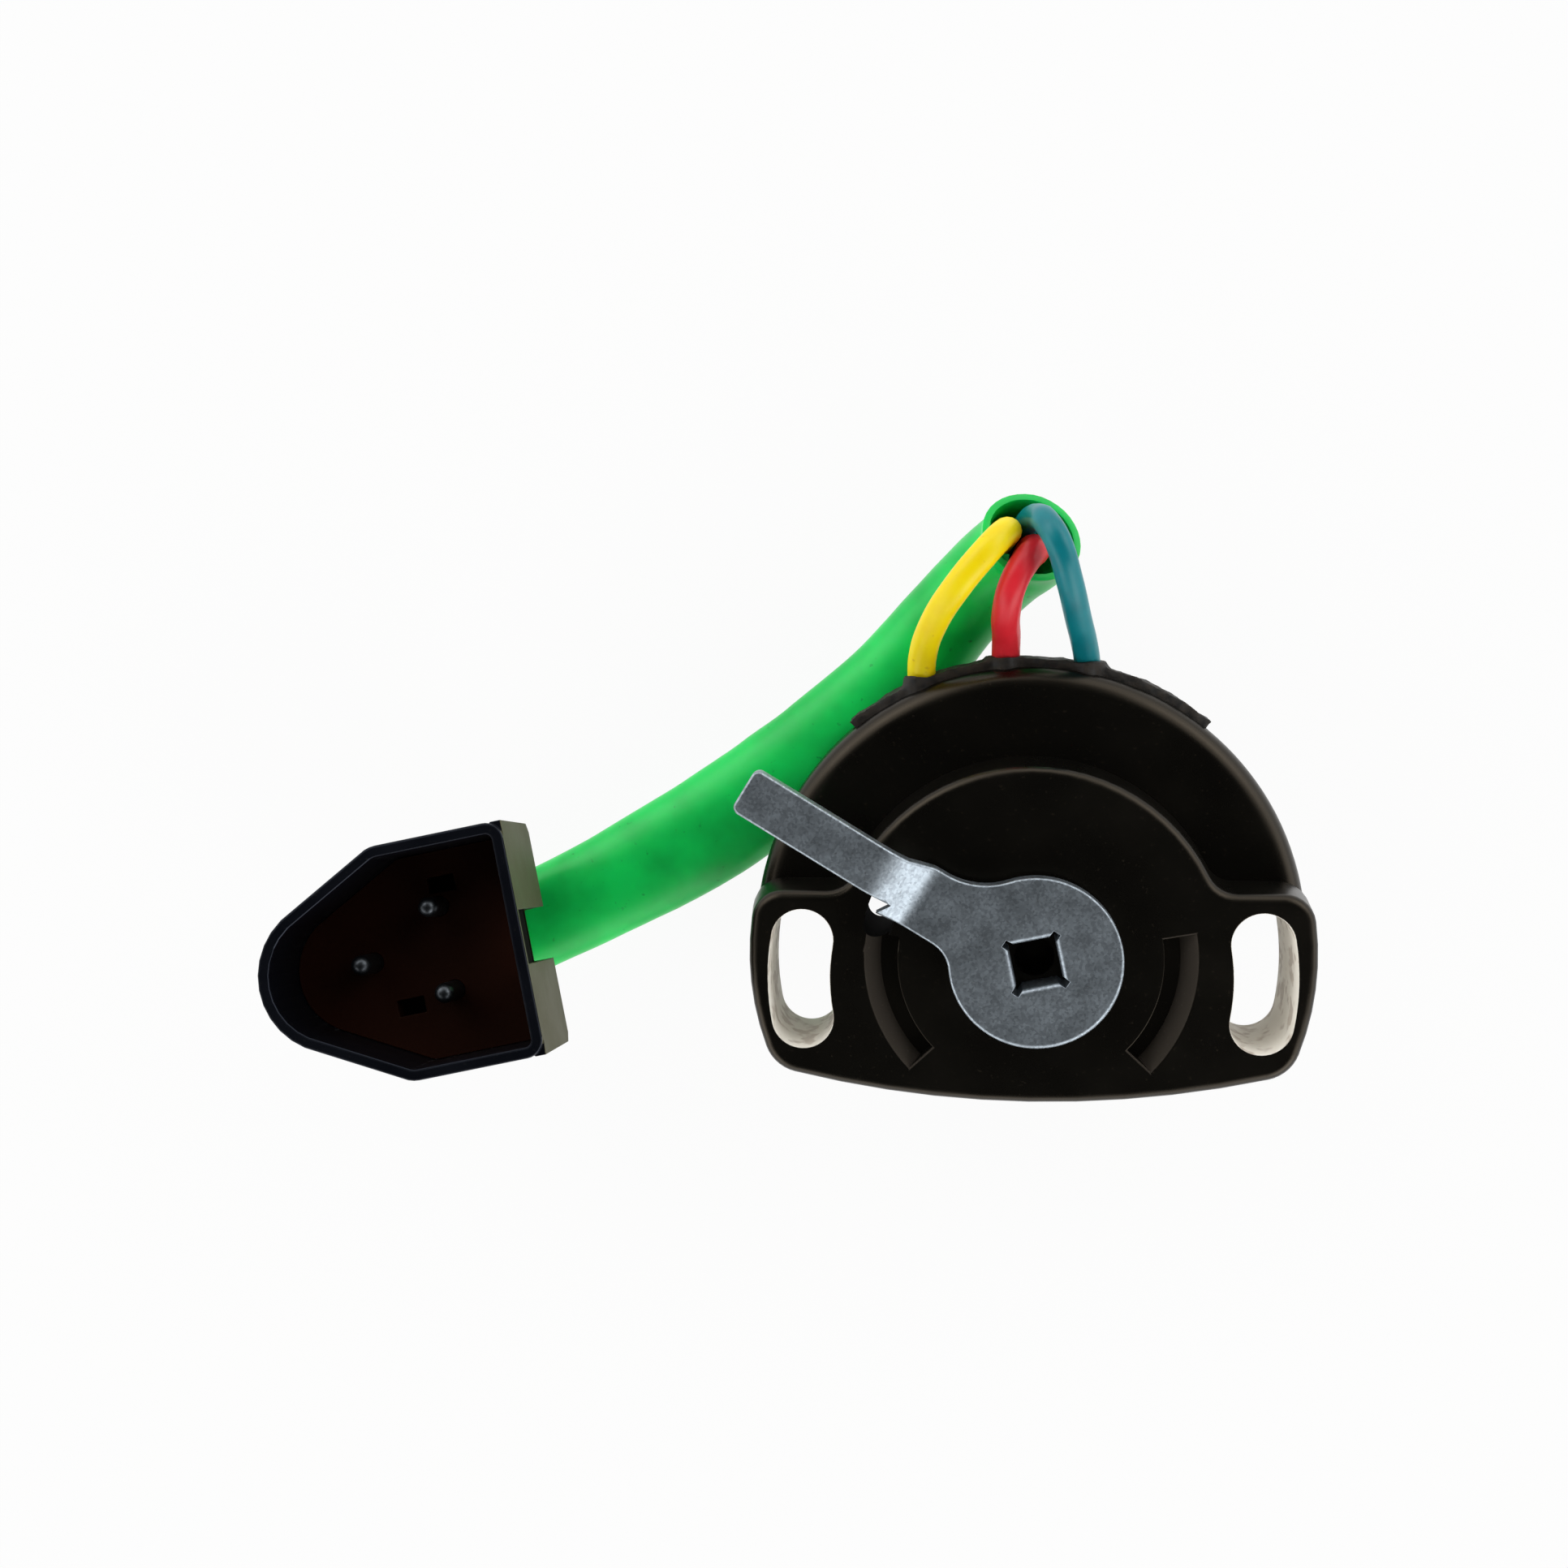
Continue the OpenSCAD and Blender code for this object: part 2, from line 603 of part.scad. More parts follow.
module rotor() {
    socket = hub_hole + 2 * tab_t + 2 * shaft_gap;
    color(black_plastic)
        difference() {
            union() {
                post(pivot_r, cover_t - pivot_seat + 2 * shaft_gap, flange_z + bite, fine);
                post(flange_r, flange_z, flange_z + flange_t, fine);
                post(shaft_r, flange_z, sheet_z, fine);
                sector(flange_r - lug_bite, flange_r + lug_out, lug_angle - lug_half, lug_angle + lug_half,
                    flange_z, flange_z + flange_t);
            }
            at_lever()
                rotate([0, 0, hub_hole_angle]) {
                    cube([socket, socket, 2 * (tab_len + shaft_gap)], center = true);
                    cylinder(h = 2 * (tab_len + drive_bore), r = hub_hole / 2 - bite, center = true,
                        $fn = round_fn);
                }
        }
}

module at_lever() {
    translate([lever_off_x, lever_off_y, sheet_z])
        children();
}

// The lever's plan, along +X: a disc, a neck with a hollow fillet on each side, and the arm
module lever_plan() {
    low = neck_side(neck_low, low_fillet_r);
    high = neck_side(neck_high, high_fillet_r);
    circle(r = disc_r, $fn = fine);
    difference() {
        polygon([[0, -high[1][1]], [high[1][0], -high[1][1]], [high[0][0], -neck_high],
            [joggle_at + neck_hook, -neck_high], [neck_end, -arm_w / 2], [neck_end, 0],
            [neck_end - neck_hook, arm_w / 2], [neck_end, neck_low], [low[0][0], neck_low],
            [low[1][0], low[1][1]], [0, low[1][1]]]);
        translate([low[0][0], low[0][1]])
            circle(r = low_fillet_r, $fn = round_fn);
        translate([high[0][0], -high[0][1]])
            circle(r = high_fillet_r, $fn = fine);
    }
    translate([neck_end - neck_hook - tip_r, -arm_w / 2])
        square([arm_reach - neck_end + neck_hook, arm_w]);
    translate([arm_reach - tip_r - cut, tip_r - arm_w / 2])
        square([tip_r + cut, arm_w - 2 * tip_r]);
    for (side = [-1, 1])
        translate([arm_reach - tip_r, side * (arm_w / 2 - tip_r)])
            circle(r = tip_r, $fn = small_fn);
}

// The lever's side view: the sheet's middle line rises through two bends with a slope between them
function joggle_line() =
    let (
        slope = (joggle_rise - (low_bend_r + high_bend_r) * (1 - cos(joggle_turn))) / sin(joggle_turn),
        top_x = joggle_at + (low_bend_r + high_bend_r) * sin(joggle_turn) + slope * cos(joggle_turn),
        first = arc([joggle_at, low_bend_r], low_bend_r, 270, 270 + joggle_turn, 6),
        second = arc([top_x, joggle_rise - high_bend_r], high_bend_r, 90 + joggle_turn, 90, 6))
    concat([[-disc_r - cut, 0]], first, second, [[arm_reach + cut, joggle_rise]]);

module lever_side() {
    line = joggle_line();
    t = [for (i = [0 : len(line) - 1])
        unit(line[min(i + 1, len(line) - 1)] - line[max(i - 1, 0)])];
    flat = [for (i = [0 : len(line) - 1]) i == 0 || i == len(line) - 1 ? [1, 0] : t[i]];
    upper = [for (i = [0 : len(line) - 1]) line[i] + sheet_t / 2 * [-flat[i][1], flat[i][0]]];
    lower = [for (i = [len(line) - 1 : -1 : 0]) line[i] - sheet_t / 2 * [-flat[i][1], flat[i][0]]];
    polygon(concat(upper, lower));
}

module lever_tabs() {
    outer_w = hub_hole + 2 * tab_t;
    difference() {
        translate([0, 0, (bite - tab_len) / 2])
            cube([outer_w, outer_w, tab_len + bite], center = true);
        cube([hub_hole, hub_hole, 4 * sheet_t + 2 * tab_len], center = true);
    }
}

module lever() {
    color(zinc)
        at_lever()
            difference() {
                union() {
                    rotate([0, 0, arm_angle])
                        intersection() {
                            translate([0, 0, -cut])
                                linear_extrude(height = joggle_rise + sheet_t + 2 * cut)
                                    lever_plan();
                            translate([0, arm_reach, sheet_t / 2])
                                rotate([90, 0, 0])
                                    linear_extrude(height = 2 * arm_reach)
                                        lever_side();
                        }
                    rotate([0, 0, hub_hole_angle])
                        lever_tabs();
                }
                rotate([0, 0, hub_hole_angle]) {
                    cube([hub_hole, hub_hole, 4 * sheet_t + 2 * tab_len], center = true);
                    for (a = [45 : 90 : 315])
                        rotate([0, 0, a])
                            translate([hub_hole / sqrt(2) - slit_w, -slit_w / 2, -tab_len - cut])
                                cube([slit_len + slit_w, slit_w, sheet_t + tab_len + 2 * cut]);
                }
            }
}

module return_spring() {
    steps = 14;
    start = lug_angle + 4 * lug_half;
    coil = [for (i = [0 : spring_turns * steps]) let (a = start - i * 360 / steps)
        [spring_r * cos(a), spring_r * sin(a), spring_z + spring_pitch * i / steps]];
    last = len(coil) - 1;
    foot = coil[0] * spring_foot / spring_r;
    head = coil[last] * spring_head / spring_r;
    color(spring_steel)
        tube(concat([[foot[0], foot[1], coil[0][2]]], coil, [[head[0], head[1], coil[last][2]]]),
            spring_wire_r, 6);
}

// Two sprung fingers, each split by a slit, reach over the track on both sides of the stop lug
module wiper() {
    outer_r = flange_r - stop_gap;
    slit_half = lug_half + wiper_arm_arc - 1;
    color(brass)
        difference() {
            union() {
                washer_ring(pivot_r + bite, pivot_r + bite + wiper_ring_w, wiper_z, flange_z);
                for (a = [lug_angle - lug_half - wiper_arm_arc, lug_angle + lug_half])
                    sector(outer_r - wiper_reach, outer_r, a, a + wiper_arm_arc, wiper_z, flange_z);
            }
            sector(flange_r - wiper_slit[0], flange_r - wiper_slit[1], lug_angle - slit_half,
                lug_angle + slit_half, wiper_z - cut, flange_z + cut);
        }
}

module track_board() {
    color(board_green)
        washer_ring(pivot_r + 2 * board_gap, chamber_r - board_gap, board_z, board_z + board_t);
}

module wire(route, shade) {
    color(shade)
        tube(route, wire_r, 8);
}

// A soft tube, pressed flat where it lies: the rings are drawn round its true oval
module sleeve() {
    t = tangents(sleeve_route);
    last = len(sleeve_route) - 1;
    side = [for (i = [0 : last]) unit(cross([0, 0, 1], t[i]))];
    grow = 1 / cos(180 / sleeve_sides);
    function section(i, inset) =
        ring(sleeve_route[i], side[i], cross(t[i], side[i]), grow * (sleeve_half_w[i] - inset),
            grow * (sleeve_half_h[i] - inset), sleeve_sides);
    color(sleeve_green)
        skin(concat([for (i = [0 : last]) section(i, 0)],
            [for (i = [last : -1 : 0]) section(i, sleeve_wall)]), true);
}

module plug_plan(inset) {
    hull() {
        for (side = [-1, 1]) {
            translate([-plug_corner_r, side * (plug_half_h - plug_corner_r)])
                circle(r = plug_corner_r - inset, $fn = 32);
            translate([-plug_shoulder_x, side * (plug_half_h - plug_shoulder_r)])
                circle(r = plug_shoulder_r - inset, $fn = 32);
        }
        translate([-plug_nose_x, 0])
            circle(r = plug_nose_r - inset, $fn = 32);
    }
}

module at_plug() {
    translate(plug_at)
        rotate(plug_lean)
            rotate([0, 0, plug_spin])
                children();
}

// The flat side ends in square corners, chamfered at the back, under the mouth's rounded edge
module flat_side() {
    rotate([0, -90, 0])
        linear_extrude(height = plug_wall)
            polygon([[-plug_depth, flange_chamfer - plug_half_h], [flange_chamfer - plug_depth, -plug_half_h],
                [-flange_step, -plug_half_h], [-flange_step, plug_half_h],
                [flange_chamfer - plug_depth, plug_half_h], [-plug_depth, plug_half_h - flange_chamfer]]);
}

module plug_shell() {
    back = -plug_depth;
    color(black_plastic)
        at_plug()
            difference() {
                union() {
                    translate([0, 0, back])
                        linear_extrude(height = plug_depth)
                            plug_plan(0);
                    flat_side();
                }
                translate([0, 0, back - cut])
                    linear_extrude(height = plug_depth + 2 * cut)
                        plug_plan(plug_wall);
                translate([-plug_wall - bite, -notch_half, back - cut])
                    cube([plug_wall + 2 * bite, 2 * notch_half, plug_depth - notch_lip + cut]);
            }
}

module plug_insert() {
    face = -insert_drop;
    back = -plug_depth - insert_out;
    color(insert_brown)
        at_plug()
            difference() {
                translate([0, 0, back])
                    linear_extrude(height = face - back)
                        plug_plan(plug_wall + insert_gap);
                for (p = pin_places)
                    translate([p[0], p[1], back - cut]) {
                        cylinder(h = face - back + 2 * cut, r = pin_r + insert_gap / 2, $fn = round_fn);
                        cylinder(h = wire_bore + cut, r = wire_r + 3 * insert_gap, $fn = round_fn);
                    }
                for (p = core_slots)
                    translate([p[0], p[1], face])
                        cube([core_slot[0], core_slot[1], 2 * core_slot[2]], center = true);
                translate([-latch_recess, -notch_half, back - cut])
                    cube([latch_recess, 2 * notch_half, face - back + 2 * cut]);
            }
}

module plug_pin(i) {
    p = pin_places[i];
    tail = -plug_depth - insert_out + wire_bore;
    color(brass)
        at_plug()
            translate([p[0], p[1], 0])
                rotate_extrude($fn = round_fn)
                    union() {
                        translate([0, tail])
                            square([pin_r, pin_out - insert_drop - pin_r - tail]);
                        intersection() {
                            translate([0, pin_out - insert_drop - pin_r])
                                circle(r = pin_r, $fn = round_fn);
                            translate([0, pin_out - insert_drop - pin_r])
                                square([pin_r, pin_r]);
                        }
                    }
}

module wire_seal(i) {
    p = pin_places[i];
    back = -plug_depth - insert_out;
    color(rubber_grey)
        at_plug()
            translate([p[0], p[1], back - seal_len])
                difference() {
                    cylinder(h = seal_len, r = seal_r, $fn = round_fn);
                    translate([0, 0, -cut])
                        cylinder(h = seal_len + 2 * cut, r = wire_r + 3 * insert_gap, $fn = round_fn);
                }
}

housing();
rear_cover();
potting();
shaft_bush();
shaft_seal();
thrust_washer();
rotor();
lever();
return_spring();
wiper();
track_board();
terminal(0);  // terminal_left
terminal(1);  // terminal_middle
terminal(2);  // terminal_right
wire(yellow_route, wire_yellow);  // yellow_wire
wire(red_route, wire_red);  // red_wire
wire(teal_route, wire_teal);  // teal_wire
sleeve();
plug_shell();
plug_insert();
plug_pin(0);  // plug_pin_upper
plug_pin(1);  // plug_pin_lower
plug_pin(2);  // plug_pin_nose
wire_seal(0);  // wire_seal_upper
wire_seal(1);  // wire_seal_lower
wire_seal(2);  // wire_seal_nose
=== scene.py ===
# %% [markdown]
# A throttle position sensor for a car engine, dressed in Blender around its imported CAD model. The
# CAD model gives every piece its size and place. This file gives each surface its finish, and
# models anew the pieces whose look depends on soft edges: the wires, the sleeve, the folded lever,
# the mouldings and the poured resin.

import math

import bmesh
import bpy
from mathutils import Matrix, Vector


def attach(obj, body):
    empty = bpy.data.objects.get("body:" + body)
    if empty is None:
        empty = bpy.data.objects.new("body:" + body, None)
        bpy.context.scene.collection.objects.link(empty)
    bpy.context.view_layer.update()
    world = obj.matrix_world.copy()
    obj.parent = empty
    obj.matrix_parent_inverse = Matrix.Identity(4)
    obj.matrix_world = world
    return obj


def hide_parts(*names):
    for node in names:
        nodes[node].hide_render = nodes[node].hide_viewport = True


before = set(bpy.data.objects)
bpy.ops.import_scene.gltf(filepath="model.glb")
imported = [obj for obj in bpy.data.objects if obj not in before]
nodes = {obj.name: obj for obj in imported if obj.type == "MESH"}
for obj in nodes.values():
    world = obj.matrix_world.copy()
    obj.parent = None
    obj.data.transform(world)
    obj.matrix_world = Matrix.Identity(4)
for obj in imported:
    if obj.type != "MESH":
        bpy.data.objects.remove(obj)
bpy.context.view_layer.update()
MM = 0.001  # one millimetre, in the metres that Blender works in

# %% [markdown]
# The photo was taken from almost straight above, so the camera stands high over the front face and
# leans a little. Its place was found by matching the outline at two heights. Only the place, the
# point it looks at and a small roll are needed, and the lens is given for a 36 mm sensor.

# %% Camera
camera_at = Vector((-6.70, 37.32, 175.73)) * MM
camera_aim = Vector((-22.27, 14.69, 10.0)) * MM
camera_roll = math.radians(-0.53)

back = (camera_at - camera_aim).normalized()
right = Vector((0, 1, 0)).cross(back).normalized()
turn = Matrix((right, back.cross(right), back)).transposed()
bpy.ops.object.camera_add(location=camera_at)
camera = bpy.context.object
camera.rotation_euler = (turn @ Matrix.Rotation(camera_roll, 3, "Z")).to_euler()
camera.data.sensor_width = 36.0
camera.data.lens = 42.0
camera.data.clip_start = 0.01
bpy.context.scene.camera = camera
print("Camera height in mm:", round(camera_at.z / MM, 1))

# %% [markdown]
# A material in Blender is a small graph. One function is enough to build all of them: it adds a
# node, sets its own fields, and fills its sockets with either a value or the output of another
# node. Colours are written as the hex values that a screen shows, so a second function turns them
# into the linear light that Cycles works in. A Mix node has a set of sockets for each kind of
# value, all with the same names, so its colour sockets are called by their numbers.

# %% Material helpers
FACTOR, COLOUR_A, COLOUR_B, MIXED_COLOUR = 0, 6, 7, 2


def linear(hex_colour):
    """A screen colour such as '#14AF46' as linear light, with alpha 1."""
    parts = [int(hex_colour[i:i + 2], 16) / 255 for i in (1, 3, 5)]
    light = [p / 12.92 if p <= 0.04045 else ((p + 0.055) / 1.055) ** 2.4 for p in parts]
    return light + [1.0]


def add(material, kind, sockets=None, **fields):
    """Adds one node to a material. Each socket takes a value or another node's output."""
    made = material.node_tree.nodes.new(kind)
    for name, value in fields.items():
        setattr(made, name, value)
    for name, value in (sockets or {}).items():
        if isinstance(value, bpy.types.NodeSocket):
            material.node_tree.links.new(value, made.inputs[name])
        else:
            made.inputs[name].default_value = value
    return made


def new_material(name):
    """A new material that has no nodes yet."""
    material = bpy.data.materials.new(name)
    material.use_nodes = True
    material.node_tree.nodes.clear()
    return material


def per_mm(size_mm):
    """The scale of a noise pattern whose features are this many millimetres across."""
    return 1 / MM / size_mm


print("A mid grey on the screen is", round(linear("#808080")[0], 3), "in linear light")

# %% [markdown]
# The body is black glass-filled nylon, moulded in a lightly etched tool. Flat faces stay deep black
# because they mirror a dark ceiling, while every rounded rim turns towards the pale surroundings
# and shows a soft, warm line. So the base is almost black, the roughness is in the middle and
# differs a little in patches of 6 mm, and a fine grain breaks up the highlights. The same recipe,
# with other colours, grain and gloss, gives the plug's plastics and some walls with painted light
# and shade. The slot walls have a pale base that is painted light, with brown specks of dirt. The
# window walls are near black, as painted shade. The recess slopes are lighter, as painted light.

# %% Moulded nylon
patch_mm = 6


def moulded_nylon(name, base, dust, rough_low, rough_high, grain_mm, grain_height_mm,
                  gloss=0.4, speck_mm=0.35, speck_from=0.66, sheen="#F0DDC2"):
    """A moulded plastic with a fine grain, patches of uneven gloss and specks of dust."""
    material = new_material(name)
    place = add(material, "ShaderNodeTexCoord").outputs["Object"]
    patches = add(material, "ShaderNodeTexNoise", {
        "Vector": place, "Scale": per_mm(patch_mm), "Detail": 4.0})
    rough = add(material, "ShaderNodeMapRange", {
        "Value": patches.outputs["Fac"], "From Min": 0.3, "From Max": 0.7,
        "To Min": rough_low, "To Max": rough_high})
    specks = add(material, "ShaderNodeTexNoise", {
        "Vector": place, "Scale": per_mm(speck_mm), "Detail": 2.0})
    dusty = add(material, "ShaderNodeMapRange", {
        "Value": specks.outputs["Fac"], "From Min": speck_from, "From Max": speck_from + 0.12,
        "To Min": 0.0, "To Max": 0.5})
    colour = add(material, "ShaderNodeMix", {
        FACTOR: dusty.outputs[0], COLOUR_A: linear(base), COLOUR_B: linear(dust)},
        data_type="RGBA")
    grain = add(material, "ShaderNodeTexNoise", {
        "Vector": place, "Scale": per_mm(grain_mm), "Detail": 3.0})
    bump = add(material, "ShaderNodeBump", {
        "Height": grain.outputs["Fac"], "Strength": 0.5, "Distance": grain_height_mm * MM})
    surface = add(material, "ShaderNodeBsdfPrincipled", {
        "Base Color": colour.outputs[MIXED_COLOUR], "Roughness": rough.outputs[0],
        "IOR": 1.5, "Specular IOR Level": gloss, "Specular Tint": linear(sheen),
        "Normal": bump.outputs[0]})
    add(material, "ShaderNodeOutputMaterial", {"Surface": surface.outputs[0]})
    return material


nylon = moulded_nylon(
    "glass_filled_nylon_moulded", "#070706", "#2A251E", 0.24, 0.34, 0.25, 0.006)
# The slot walls' pale base is painted light, from the white room that lights them; the brown specks
# are dirt.
painted_light_dusty_nylon = moulded_nylon(
    "glass_filled_nylon_painted_light_dusty", "#EAE6DC", "#8A7460", 0.5, 0.62, 0.5, 0.02,
    speck_mm=1.6, speck_from=0.5)
# Near black, rough and dull: painted shade, for the window slot's walls and the strip over the
# plug's notch.
painted_shade_nylon = moulded_nylon(
    "glass_filled_nylon_painted_shade", "#030303", "#0A0908", 0.85, 0.95, 0.5, 0.02, gloss=0.05)
# Brown-grey and paler than the body: painted light, on the recess slopes that turn towards the
# light.
painted_light_slope_nylon = moulded_nylon(
    "glass_filled_nylon_painted_light_slope", "#2E2A26", "#4A443C", 0.6, 0.75, 0.4, 0.01, gloss=0.3)
shell_plastic = moulded_nylon(
    "pbt_plug_shell_moulded", "#040509", "#24241F", 0.28, 0.4, 0.4, 0.01, sheen="#B4BED6")
# Pale olive: painted light, on the plug's black flat side where it turns towards the bright room.
painted_light_plastic = moulded_nylon(
    "pbt_plug_shell_painted_light", "#4A4A38", "#6A6A58", 0.55, 0.7, 0.4, 0.01)
insert_plastic = moulded_nylon(
    "red_brown_pbt_insert_moulded", "#220A04", "#2C140C", 0.5, 0.65, 0.3, 0.02, gloss=0.15)
print("Body plastics:", nylon.name, painted_light_dusty_nylon.name, painted_shade_nylon.name, painted_light_slope_nylon.name)
print("Plug plastics:", shell_plastic.name, painted_light_plastic.name, insert_plastic.name)

# %% [markdown]
# The lever is mild steel with a dull zinc plate. The plate's crystals scatter the light in pale
# and dark specks. Real crystals are too fine to show, so they are drawn coarser, as a pattern of
# cells 0.22 mm across. A fine noise adds a slight waviness and the brownish stains where handling
# has worn the plate.

# %% Zinc plate
crystal_mm = 0.22
stain_mm = 0.3
haze_mm = 2.5


def zinc_plate(name):
    """Dull plated steel with pale and dark crystals, stains and an uneven haze."""
    material = new_material(name)
    place = add(material, "ShaderNodeTexCoord").outputs["Object"]
    crystal = add(material, "ShaderNodeTexVoronoi", {
        "Vector": place, "Scale": per_mm(crystal_mm)})
    tone = add(material, "ShaderNodeMapRange", {
        "Value": crystal.outputs["Color"], "From Min": 0.2, "From Max": 0.8,
        "To Min": 0.0, "To Max": 1.0})
    plate = add(material, "ShaderNodeMix", {
        FACTOR: tone.outputs[0], COLOUR_A: linear("#8A9299"), COLOUR_B: linear("#A6B0B8")},
        data_type="RGBA")
    fine = add(material, "ShaderNodeTexNoise", {
        "Vector": place, "Scale": per_mm(stain_mm), "Detail": 4.0})
    stain = add(material, "ShaderNodeMapRange", {
        "Value": fine.outputs["Fac"], "From Min": 0.64, "From Max": 0.78,
        "To Min": 0.0, "To Max": 0.45})
    colour = add(material, "ShaderNodeMix", {
        FACTOR: stain.outputs[0], COLOUR_A: plate.outputs[MIXED_COLOUR],
        COLOUR_B: linear("#5E564C")}, data_type="RGBA")
    haze = add(material, "ShaderNodeTexNoise", {
        "Vector": place, "Scale": per_mm(haze_mm), "Detail": 5.0})
    rough = add(material, "ShaderNodeMapRange", {
        "Value": haze.outputs["Fac"], "From Min": 0.3, "From Max": 0.7,
        "To Min": 0.4, "To Max": 0.5})
    bump = add(material, "ShaderNodeBump", {
        "Height": fine.outputs["Fac"], "Strength": 0.3, "Distance": 0.012 * MM})
    surface = add(material, "ShaderNodeBsdfPrincipled", {
        "Base Color": colour.outputs[MIXED_COLOUR], "Metallic": 1.0,
        "Roughness": rough.outputs[0], "Normal": bump.outputs[0]})
    add(material, "ShaderNodeOutputMaterial", {"Surface": surface.outputs[0]})
    return material


zinc = zinc_plate("zinc_plated_mild_steel")
print("Metal:", zinc.name)

# %% [markdown]
# The wires have extruded PVC jackets and the sleeve is a soft PVC tube. Soft PVC has a low gloss,
# lets a little light into it, and is never quite even: the surface waves, and dirt settles in
# small dark specks. One function serves all four colours, and the sleeve gets longer waves and
# lets more light in, since it is thin.

# %% PVC
dirt_mm = 0.8
light_reach = 1.2 * MM


def soft_pvc(name, base, shade, dirt, rough, wave_mm, wave_height_mm, through):
    """A soft extruded plastic with slow waves and small specks of dirt."""
    material = new_material(name)
    place = add(material, "ShaderNodeTexCoord").outputs["Object"]
    wave = add(material, "ShaderNodeTexNoise", {
        "Vector": place, "Scale": per_mm(wave_mm), "Detail": 3.0})
    tint = add(material, "ShaderNodeMapRange", {
        "Value": wave.outputs["Fac"], "From Min": 0.35, "From Max": 0.7,
        "To Min": 0.0, "To Max": 1.0})
    clean = add(material, "ShaderNodeMix", {
        FACTOR: tint.outputs[0], COLOUR_A: linear(base), COLOUR_B: linear(shade)},
        data_type="RGBA")
    speck = add(material, "ShaderNodeTexNoise", {
        "Vector": place, "Scale": per_mm(dirt_mm), "Detail": 4.0})
    dirty = add(material, "ShaderNodeMapRange", {
        "Value": speck.outputs["Fac"], "From Min": 0.68, "From Max": 0.76,
        "To Min": 0.0, "To Max": 0.6})
    colour = add(material, "ShaderNodeMix", {
        FACTOR: dirty.outputs[0], COLOUR_A: clean.outputs[MIXED_COLOUR],
        COLOUR_B: linear(dirt)}, data_type="RGBA")
    bump = add(material, "ShaderNodeBump", {
        "Height": wave.outputs["Fac"], "Strength": 0.25, "Distance": wave_height_mm * MM})
    surface = add(material, "ShaderNodeBsdfPrincipled", {
        "Base Color": colour.outputs[MIXED_COLOUR], "Roughness": rough,
        "IOR": 1.52, "Specular IOR Level": 0.3, "Subsurface Weight": through,
        "Subsurface Scale": light_reach, "Normal": bump.outputs[0]})
    add(material, "ShaderNodeOutputMaterial", {"Surface": surface.outputs[0]})
    return material


yellow_pvc = soft_pvc(
    "yellow_pvc_jacket_extruded", "#FFE500", "#FADB00", "#D8B010", 0.4, 2.0, 0.03, 0.1)
red_pvc = soft_pvc(
    "red_pvc_jacket_extruded", "#E42C38", "#DA2632", "#A82A34", 0.36, 2.0, 0.03, 0.1)
teal_pvc = soft_pvc(
    "teal_pvc_jacket_extruded", "#087F88", "#06727C", "#085058", 0.34, 2.0, 0.03, 0.1)
green_pvc = soft_pvc(
    "green_pvc_sleeve_extruded", "#12DC60", "#0CBA4E", "#0A5A24", 0.34, 6.0, 0.1, 0.4)
print("PVC:", yellow_pvc.name, red_pvc.name, teal_pvc.name, green_pvc.name)

# %% [markdown]
# The remaining finishes are small or hidden: the poured resin over the wires, the brass and
# tin-plated contacts, rubber, the nylon washer, the spring and the board. They share one plain
# recipe, in which a single cloudy pattern makes the colour, the gloss and the surface a little
# uneven. The tin-plated pins are drawn dark grey, as painted shade for their place deep in the
# plug's mouth.

# %% Small finishes
def plain_finish(name, base, shade, metallic, rough_low, rough_high, pattern_mm, height_mm):
    """A finish whose colour, gloss and height all follow one cloudy pattern."""
    material = new_material(name)
    place = add(material, "ShaderNodeTexCoord").outputs["Object"]
    cloud = add(material, "ShaderNodeTexNoise", {
        "Vector": place, "Scale": per_mm(pattern_mm), "Detail": 5.0})
    tint = add(material, "ShaderNodeMapRange", {
        "Value": cloud.outputs["Fac"], "From Min": 0.35, "From Max": 0.65,
        "To Min": 0.0, "To Max": 1.0})
    colour = add(material, "ShaderNodeMix", {
        FACTOR: tint.outputs[0], COLOUR_A: linear(base), COLOUR_B: linear(shade)},
        data_type="RGBA")
    rough = add(material, "ShaderNodeMapRange", {
        "Value": cloud.outputs["Fac"], "From Min": 0.3, "From Max": 0.7,
        "To Min": rough_low, "To Max": rough_high})
    bump = add(material, "ShaderNodeBump", {
        "Height": cloud.outputs["Fac"], "Strength": 0.5, "Distance": height_mm * MM})
    surface = add(material, "ShaderNodeBsdfPrincipled", {
        "Base Color": colour.outputs[MIXED_COLOUR], "Metallic": metallic,
        "Roughness": rough.outputs[0], "Normal": bump.outputs[0]})
    add(material, "ShaderNodeOutputMaterial", {"Surface": surface.outputs[0]})
    return material


resin = plain_finish("epoxy_resin_poured", "#0C0A08", "#2A231B", 0.0, 0.5, 0.8, 0.7, 0.1)
brass = plain_finish("brass_stamped", "#C9A85C", "#A98742", 1.0, 0.25, 0.4, 1.0, 0.01)
# The pins are drawn dark grey, as painted shade for their place deep in the plug's mouth.
shade_darkened_tin = plain_finish("tinned_brass_painted_shade", "#4E5256", "#3A3D40", 1.0, 0.3, 0.42, 0.8, 0.01)
rubber = plain_finish(
    "silicone_rubber_moulded", "#3A3B3B", "#2C2D2D", 0.0, 0.55, 0.7, 0.6, 0.02)
white_nylon = plain_finish(
    "natural_nylon_moulded", "#D9D5C6", "#C6C0AC", 0.0, 0.4, 0.55, 1.2, 0.01)
spring_wire = plain_finish(
    "spring_steel_drawn", "#8A8A88", "#6E6E6C", 1.0, 0.25, 0.4, 0.6, 0.01)
laminate = plain_finish(
    "glass_epoxy_laminate", "#33442E", "#28381F", 0.0, 0.35, 0.5, 0.8, 0.02)
print("Small finishes:", resin.name, brass.name, shade_darkened_tin.name, rubber.name)
